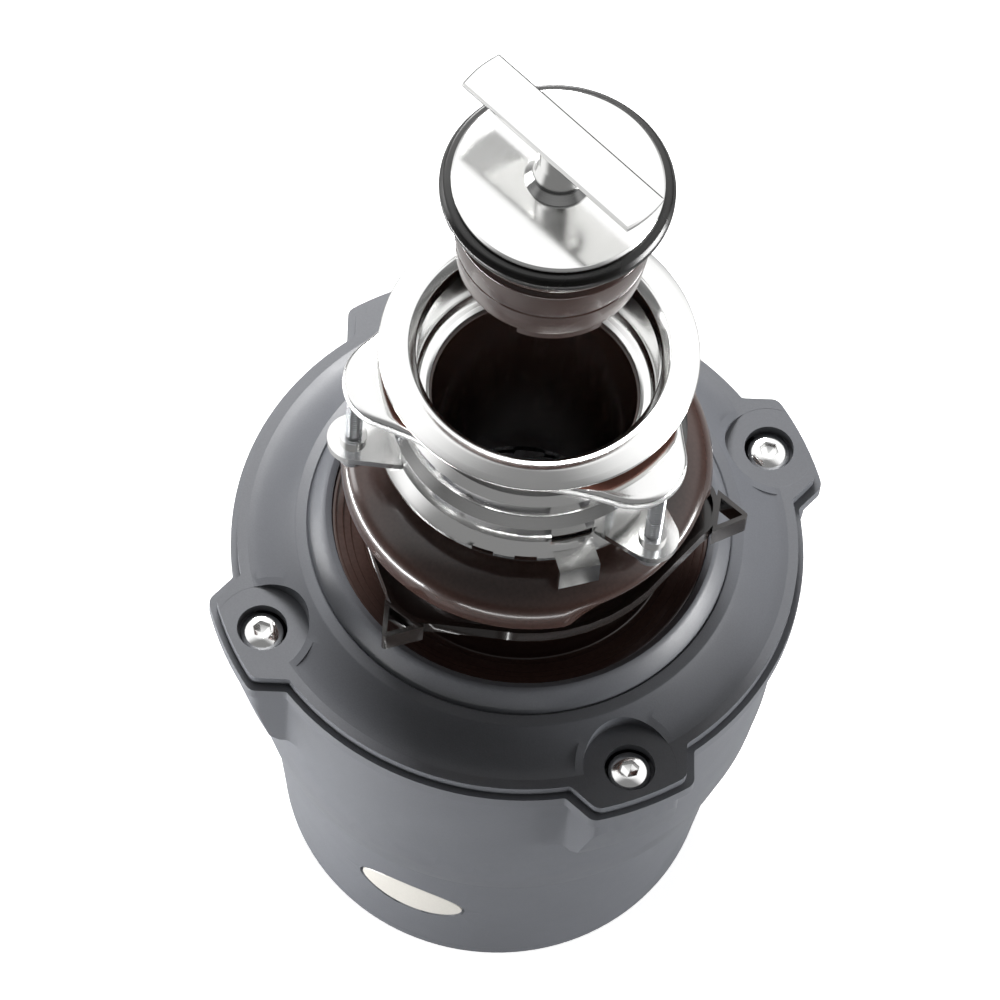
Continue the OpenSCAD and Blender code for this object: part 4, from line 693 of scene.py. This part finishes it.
class DISPOSER_OT_sink_mount(bpy.types.Operator):
    """Build the sink flange, its gasket, the lobed backup flange and the mounting ring"""

    bl_idname = "disposer.sink_mount"
    bl_label = "Sink mount"

    def execute(self, context):
        edge_z = CROWN_Z - FLANGE_CROWN
        inner = SLEEVE_R - SLEEVE_WALL
        flange = turned("sink_flange_pressing", [
            (SLEEVE_R, SLEEVE_Z, 0.3), (SLEEVE_R, edge_z - 2.2, 2.0), (SLEEVE_R + 3.0, edge_z - 1.4, 1.0),
            (FLANGE_R - 1.4, edge_z - 1.4, 0.4), (FLANGE_R, edge_z - 0.9, 0.5), (FLANGE_R, edge_z - 0.1, 0.6),
            (FLANGE_R - 2.4, edge_z + 0.8, 1.5), (49.6, CROWN_Z, 5.5), (46.6, CROWN_Z - 0.7, 2.0),
            (inner + 0.6, CROWN_Z - 4.4, 3.0), (inner, CROWN_Z - 10.0, 3.0),
            (inner, SEAT_Z + 3.0, 1.5), (inner - 1.6, SEAT_Z + 0.2, 1.2), (THROAT_R + 1.4, SEAT_Z, 0.5),
            (THROAT_R, SEAT_Z - 1.0, 0.6), (THROAT_R, SEAT_Z - 2.4, 0.3), (inner, SEAT_Z - 2.4, 0.3),
            (inner, SLEEVE_Z, 0.3)], segments=192)
        place("sink_flange_pressing", flange, "bright_steel", "disposer", ["sink_flange"], limit=40)

        low = edge_z - 1.4 - GASKET_T
        gasket = turned("fibre_washer", [
            (SLEEVE_R + 2.2, low, 0), (FLANGE_R - 1.1, low, 0.3), (FLANGE_R - 1.1, low + GASKET_T, 0.3),
            (SLEEVE_R + 2.2, low + GASKET_T, 0)], segments=128)
        place("fibre_washer", gasket, "fibre", "disposer", ["flange_gasket"])

        centre_r = LOBE_R - LOBE_ROUND

        def reach(angle, inset):
            """Distance from the axis to the lobed outline at an angle, set in by an amount."""
            off = min(abs((angle - a + 180) % 360 - 180) for a in LOBE_ANGLES)
            radius = LOBE_ROUND - inset
            # The straight side faces half the way from one lobe to the next
            half_way = math.radians(60)
            corner = math.degrees(math.atan2(radius * math.sin(half_way),
                                             centre_r + radius * math.cos(half_way)))
            d = math.radians(off)
            if off <= corner:
                edge = centre_r * math.cos(d) + math.sqrt(radius ** 2 - (centre_r * math.sin(d)) ** 2)
            else:
                edge = (centre_r * 0.5 + radius) / math.cos(math.radians(60 - off))
            waist = SLEEVE_R + BACKUP_T - inset
            # The two outlines meet in a soft hollow, which a higher power makes sharper
            power = 12
            return (edge ** power + waist ** power) ** (1 / power)

        top = BACKUP_Z + BACKUP_T
        steps = [(1.4, BACKUP_Z), (0.4, BACKUP_Z + 0.4), (0.0, BACKUP_Z + 1.3), (0.0, top - 2.2),
                 (0.25, top - 1.1), (0.9, top - 0.35), (2.2, top), (3.6, top)]
        bore = SLEEVE_R + SEAT_GAP
        set_in = 0.32
        angles = [i * 1.5 for i in range(240)]
        rings = [[polar(bore, a, top) for a in angles], [polar(bore, a, BACKUP_Z) for a in angles]]
        rings += [[polar(reach(a, inset) - set_in, a, z) for a in angles] for inset, z in steps]
        plate = lofted("backup_plate", rings)
        place("backup_plate", plate, "cast_zinc", "disposer", ["backup_flange"], limit=40)

        ring = merged_copy("mounting_ring", bpy.context.scene.disposer_sizes.edge_round * 2)
        place("mounting_pressing", ring, "bright_steel", "disposer", ["mounting_ring"], limit=None)
        return {"FINISHED"}


class DISPOSER_OT_screws(bpy.types.Operator):
    """Build the threaded mounting screws and the button-head cover screws"""

    bl_idname = "disposer.screws"
    bl_label = "Screws"

    def execute(self, context):
        sizes = context.scene.disposer_sizes
        top = BACKUP_Z + BACKUP_T / 4 - FIT_GAP
        low = EAR_Z - 7.0
        segments = 24
        rows_to_pitch = 8
        rows = int((top - low) / sizes.thread_pitch * rows_to_pitch)
        rings = []
        # Below the thread: the plain round head
        head_r = BOLT_R * 1.7
        for r, z in ((head_r - 0.6, low - 3.5), (head_r, low - 2.9), (head_r, low - 0.6), (head_r - 0.5, low),
                     (BOLT_R * 0.86, low)):
            rings.append(circle(r, z, segments))
        for k in range(rows + 1):
            z = low + (top - low) * k / rows
            ring = []
            for i in range(segments):
                turn = (z / sizes.thread_pitch - i / segments) % 1.0
                # The thread takes about a sixth of the radius, and its crest is cut a little flat
                ridge = min(1.0, (1 - abs(2 * turn - 1)) * 1.3)
                r = BOLT_R * 0.84 + BOLT_R * 0.16 * ridge
                ring.append(polar(r, 360 * i / segments, z))
            rings.append(ring)
        screw = capped("threaded_screw", rings)
        smooth(screw, 30)
        screws = set_round("mounting_screw_set", screw, "steel", len(LOBE_ANGLES), BOLT_RING_R,
                           LOBE_ANGLES[0])
        place("mounting_screw_set", screws, "steel", "disposer", ["mounting_screws"], limit=30)

        # The button head: flange edge, dome, and a hexagon socket with a chamfered mouth
        segments = 48
        socket = sizes.socket_width / 2

        def hexagon(angle):
            """Distance from the screw's axis to the hexagon's side at an angle."""
            return socket / math.cos(math.radians((angle + 30) % 60 - 30))

        shank_r = 3.0
        shank_l = 23.0
        edge_h = 0.8
        last_angle = 62
        dome_end = math.sin(math.radians(last_angle))
        profile = [(shank_r, -shank_l), (shank_r, -FIT_GAP), (SCREW_HEAD_R - 0.3, 0.0), (SCREW_HEAD_R, 0.35),
                   (SCREW_HEAD_R, edge_h)]
        for angle in range(8, last_angle + 1, 6):
            a = math.radians(angle)
            height = edge_h + (SCREW_HEAD_H - edge_h) * math.sin(a) / dome_end
            profile.append((SCREW_HEAD_R * math.cos(a), height))
        rings = [circle(r, z, segments) for r, z in profile]
        angles = [360 * i / segments for i in range(segments)]
        for wider, z in ((1.06, SCREW_HEAD_H), (1.0, SCREW_HEAD_H - 0.3), (1.0, 1.3)):
            rings.append([polar(hexagon(a) * wider, a, z) for a in angles])
        # The socket ends in a shallow cone
        rings.append(circle(0.4, 0.6, segments))
        head = capped("button_screw", [[(x, y, z + SCREW_SEAT_Z) for x, y, z in ring] for ring in rings])
        heads = set_round("cover_screw_set", head, "bright_steel", len(LUG_ANGLES), SCREW_RING_R,
                          LUG_ANGLES[0], seed=3)
        place("cover_screw_set", heads, "bright_steel", "disposer", ["cover_screws"], limit=30)
        return {"FINISHED"}


class DISPOSER_OT_rubber_mount(bpy.types.Operator):
    """Build the rubber dome, the stepped mount in the mouth and the locking ring"""

    bl_idname = "disposer.rubber_mount"
    bl_label = "Rubber mount"

    def execute(self, context):
        cap_z = DOME_Z + 5.0
        lip_z = DOME_TOP_Z - 13.0
        liner = SLEEVE_R - SLEEVE_WALL - SEAT_GAP
        lip_r = 49.4
        curl_angle = -38
        curl_half = 34
        curl_r = 61.5
        curl_top = cap_z + 6
        curl_fade = 8

        def curl(r, z, angle):
            """Rolls the dome's rim in over a stretch at its front."""
            off = (angle - curl_angle + 180) % 360 - 180
            ease = max(0.0, 1 - (abs(off) / curl_half) ** 4)
            low = max(0.0, min(1.0, (curl_top - z) / curl_fade))
            return (r - max(0.0, r - curl_r) * ease * low, z)

        curve = []
        steps = 12
        for i in range(1, steps + 1):
            a = math.radians(90 * i / steps)
            height = cap_z + (lip_z - cap_z) * math.cos(a) ** 0.8
            curve.append((lip_r + (DOME_R - lip_r) * math.sin(a), height, 0))
        dome = turned("rubber_dome", [
            (NECK_BORE_R, DOME_Z, 0), (NECK_BORE_R, COLLAR_TOP_Z, 0.6), (liner, COLLAR_TOP_Z, 0.8),
            (liner, SLEEVE_Z - SEAT_GAP, 0), (liner + 1.2, DOME_TOP_Z, 0), (lip_r - 1.2, DOME_TOP_Z, 1.0),
            (lip_r, DOME_TOP_Z - 1.2, 0.8), (lip_r, lip_z + 0.6, 1.0)] + curve + [
            (DOME_R, DOME_Z + 1.2, 0.8), (DOME_R - 1.2, DOME_Z, 0.8), (DOME_R - 5.0, DOME_Z, 0.5),
            (NECK_R + 2.4, DOME_Z + 5.0, 1.0), (NECK_R, DOME_Z + 2.5, 0.5), (NECK_R, DOME_Z, 0)],
            segments=192, reach=curl)
        place("rubber_dome", dome, "brown_rubber", "disposer", ["mount_dome"], limit=40)

        # The rubber's thickness, and one step of the skirt
        wall = 6.0
        step = 1.4
        shoulder = LOCK_Z - SEAT_GAP
        grip = CHAMBER_NECK_R + 4.0
        grip_low = SKIRT_Z - wall - 8.0
        grip_bore = CHAMBER_NECK_R + FIT_GAP
        mount = turned("stepped_mount", [
            (NECK_BORE_R, SKIRT_Z - wall, 0.6), (NECK_BORE_R, DOME_Z - FIT_GAP, 0),
            (NECK_R, DOME_Z - FIT_GAP, 0), (NECK_R, shoulder, 0.5), (NECK_R + 1.4 * wall, shoulder, 0.6),
            (NECK_R + 1.4 * wall, shoulder - wall / 2, 0.8),
            (NECK_R + 1.2, shoulder - wall, 1.5), (NECK_R - 2.4, shoulder - 1.4 * wall, 1.5),
            (NECK_R + 1.2, shoulder - 2 * wall, 1.5), (NECK_R + wall, SKIRT_Z, 1.2),
            (SKIRT_R - 8 * step, SKIRT_Z, 0.5),
            (SKIRT_R - 8 * step, SKIRT_Z + step, 0.5), (SKIRT_R - 5 * step, SKIRT_Z + step, 0.4),
            (SKIRT_R - 5 * step, SKIRT_Z + 2 * step, 0.5), (SKIRT_R - 3 * step, SKIRT_Z + 2 * step, 0.4),
            (SKIRT_R - 3 * step, SKIRT_Z + 3.2 * step, 0.5), (SKIRT_R - step, SKIRT_Z + 3.2 * step, 0.4),
            (SKIRT_R - step, SKIRT_Z + 4.6 * step, 0.4), (SKIRT_R, SKIRT_Z + 4.6 * step, 0.3),
            (SKIRT_R, SKIRT_Z - wall / 2, 0.5), (grip + 2.4, SKIRT_Z - wall / 2, 0.8),
            (grip, SKIRT_Z - wall, 0.5), (grip, grip_low, 0.4), (grip_bore, grip_low, 0),
            (grip_bore, SKIRT_Z - wall, 0)], segments=192)
        place("stepped_mount", mount, "brown_rubber", "disposer", ["vibration_mount"], limit=40)

        ring = merged_copy("locking_ring", bpy.context.scene.disposer_sizes.edge_round)
        place("locking_pressing", ring, "black_enamel", "locking_ring", ["locking_ring"], limit=None)
        return {"FINISHED"}


class DISPOSER_OT_shells(bpy.types.Operator):
    """Build the cover, the two shells, the seal in the seam and the bare badge"""

    bl_idname = "disposer.shells"
    bl_label = "Cover and shells"

    def execute(self, context):
        edge = context.scene.disposer_sizes.edge_round
        for node, name, width in (
                ("top_cover", "cover_moulding", edge),
                ("upper_shell", "upper_moulding", edge),
                ("lower_shell", "lower_moulding", 0.0),
                ("seam_seal", "seam_cord", 0.0),
                ("badge_plate", "bare_badge", 0.25)):
            mesh = merged_copy(node, width)
            if node == "lower_shell":
                true_round(mesh)
            place(name, mesh, SLOT_OF[node], "disposer", [node], limit=None)
        return {"FINISHED"}


class DISPOSER_OT_studio(bpy.types.Operator):
    """Set the camera, the lights, the floor and the background"""

    bl_idname = "disposer.studio"
    bl_label = "Studio"

    def execute(self, context):
        scene = context.scene
        studio = scene.disposer_studio
        scene.view_settings.view_transform = "Standard"

        lens = bpy.data.cameras.new("camera")
        lens.lens = studio.lens
        lens.clip_end = 50.0
        camera = bpy.data.objects.new("camera", lens)
        scene.collection.objects.link(camera)
        right = Vector((1, 0, 0))
        look = Vector((0, math.cos(studio.pitch), -math.sin(studio.pitch)))
        up = right.cross(look)
        side = right * math.cos(studio.roll) + up * math.sin(studio.roll)
        top = up * math.cos(studio.roll) - right * math.sin(studio.roll)
        turn = Matrix((side, top, -look)).transposed().to_4x4()
        camera.matrix_world = Matrix.Translation(CAMERA_SPOT) @ turn
        scene.camera = camera

        # The key comes from behind at the left, so the sink mount shades the front. Strips just
        # over the floor light the walls and leave the cover's top in that shade
        for name, spot, wide, high, power in (
                ("key", (-0.35, 1.35, 1.1), 0.7, 0.7, studio.key_power),
                ("left", (-1.6, 0.5, 0.32), 0.8, 0.5, studio.left_power),
                ("right", (1.6, -0.1, 0.16), 0.8, 0.3, studio.right_power),
                ("strip_left", (-0.47, -0.14, 0.026), 0.6, 0.045, studio.strip_left_power),
                ("strip_front", (0.06, -0.5, 0.026), 0.6, 0.045, studio.strip_front_power)):
            lamp = bpy.data.lights.new(name, "AREA")
            lamp.shape = "RECTANGLE"
            lamp.size = wide
            lamp.size_y = high
            lamp.energy = power
            holder = bpy.data.objects.new(name, lamp)
            holder.location = spot
            holder.rotation_mode = "QUATERNION"
            holder.rotation_quaternion = (Vector(LAMP_TARGET) - Vector(spot)).to_track_quat("-Z", "Y")
            scene.collection.objects.link(holder)

        # The world lights evenly and is white to the camera. In polished surfaces it is white behind and
        # at the sides, as a tent of white cloth would be, and dark in front and near the horizon
        world = bpy.data.worlds.new("studio")
        scene.world = world
        world.use_nodes = True
        tree = world.node_tree
        tree.nodes.clear()
        ray = add(tree, "ShaderNodeLightPath")
        way = add(tree, "ShaderNodeTexCoord")
        split = add(tree, "ShaderNodeSeparateXYZ", links={0: way.outputs["Generated"]})
        wide = add(tree, "ShaderNodeMath", {"operation": "ABSOLUTE"}, {0: split.outputs[0]})
        behind = add(tree, "ShaderNodeMath", {"operation": "MULTIPLY_ADD", 1: 0.7},
                     {0: wide.outputs[0], 2: split.outputs[1]})
        ease = {"interpolation_type": "SMOOTHSTEP"}
        tent = add(tree, "ShaderNodeMapRange", {**ease, 1: -0.05, 2: 0.42, 3: 0.26, 4: 1.25},
                   {0: behind.outputs[0]})
        rise = add(tree, "ShaderNodeMapRange", {**ease, 1: 0.10, 2: 0.50, 3: 0.12, 4: 1.0},
                   {0: split.outputs[2]})
        cloth = add(tree, "ShaderNodeMath", {"operation": "MULTIPLY"},
                    {0: tent.outputs[0], 1: rise.outputs[0]})
        mirrored = add(tree, "ShaderNodeMix", {2: studio.sky},
                       {0: ray.outputs["Is Glossy Ray"], 3: cloth.outputs[0]})
        clear = add(tree, "ShaderNodeMath", {"operation": "MAXIMUM"},
                    {0: ray.outputs["Is Camera Ray"], 1: ray.outputs["Is Transmission Ray"]})
        strength = add(tree, "ShaderNodeMix", {3: 1.0}, {0: clear.outputs[0], 2: mirrored.outputs[0]})
        sky = add(tree, "ShaderNodeBackground", {"Color": (1, 1, 1, 1)}, {"Strength": strength.outputs[0]})
        add(tree, "ShaderNodeOutputWorld", links={"Surface": sky.outputs[0]})

        # The floor is pale, and a glow that only the camera sees brings it near white
        material, tree, shader = new_material("studio_floor")
        shader.inputs["Roughness"].default_value = 0.9
        shader.inputs["Specular IOR Level"].default_value = 0.0
        ray = add(tree, "ShaderNodeLightPath")
        # Polished surfaces mirror it greyer, so their upright sides stand out
        tone = add(tree, "ShaderNodeMix", {"data_type": "RGBA", 6: linear("F2F2F2"), 7: linear("A8A8A8")},
                   {0: ray.outputs["Is Glossy Ray"]})
        tree.links.new(tone.outputs[2], shader.inputs["Base Color"])
        glow = add(tree, "ShaderNodeEmission", {"Color": (1, 1, 1, 1), "Strength": 0.75})
        both = add(tree, "ShaderNodeAddShader", links={0: shader.outputs[0], 1: glow.outputs[0]})
        pick = add(tree, "ShaderNodeMixShader", links={0: ray.outputs["Is Camera Ray"], 1: shader.outputs[0],
                                                       2: both.outputs[0]})
        out = next(n for n in tree.nodes if n.type == "OUTPUT_MATERIAL")
        tree.links.new(pick.outputs[0], out.inputs["Surface"])
        mesh = bpy.data.meshes.new("floor")
        h = FLOOR_HALF
        mesh.from_pydata([(-h, -h, 0), (h, -h, 0), (h, h, 0), (-h, h, 0)], [], [(0, 1, 2, 3)])
        mesh.materials.append(material)
        floor = bpy.data.objects.new("floor", mesh)
        scene.collection.objects.link(floor)
        floor.location.z = -FLOOR_DROP
        return {"FINISHED"}


STEPS = (DISPOSER_OT_materials, DISPOSER_OT_stopper, DISPOSER_OT_sink_mount, DISPOSER_OT_screws,
         DISPOSER_OT_rubber_mount, DISPOSER_OT_shells, DISPOSER_OT_studio)


class DISPOSER_PT_panel(bpy.types.Panel):
    """Lists the steps and the settings in the sidebar"""

    bl_idname = "DISPOSER_PT_panel"
    bl_label = "Food waste disposer"
    bl_space_type = "VIEW_3D"
    bl_region_type = "UI"
    bl_category = "Disposer"

    def draw(self, context):
        scene = context.scene
        for group in (scene.disposer_finish, scene.disposer_sizes, scene.disposer_studio):
            box = self.layout.box()
            for name in group.__annotations__:
                box.prop(group, name)
        for step in STEPS:
            self.layout.operator(step.bl_idname)


CLASSES = (DisposerFinish, DisposerSizes, DisposerStudio) + STEPS + (DISPOSER_PT_panel,)


def register():
    """Registers the classes and gives the scene its settings."""
    for kind in CLASSES:
        bpy.utils.register_class(kind)
    bpy.types.Scene.disposer_finish = bpy.props.PointerProperty(type=DisposerFinish)
    bpy.types.Scene.disposer_sizes = bpy.props.PointerProperty(type=DisposerSizes)
    bpy.types.Scene.disposer_studio = bpy.props.PointerProperty(type=DisposerStudio)


def unregister():
    """Takes the settings and the classes away again."""
    del bpy.types.Scene.disposer_studio
    del bpy.types.Scene.disposer_sizes
    del bpy.types.Scene.disposer_finish
    for kind in reversed(CLASSES):
        bpy.utils.unregister_class(kind)


def main():
    """Runs every step in order."""
    register()
    bpy.ops.disposer.materials()
    bpy.ops.disposer.stopper()
    bpy.ops.disposer.sink_mount()
    bpy.ops.disposer.screws()
    bpy.ops.disposer.rubber_mount()
    bpy.ops.disposer.shells()
    bpy.ops.disposer.studio()


if __name__ == "__main__":
    main()
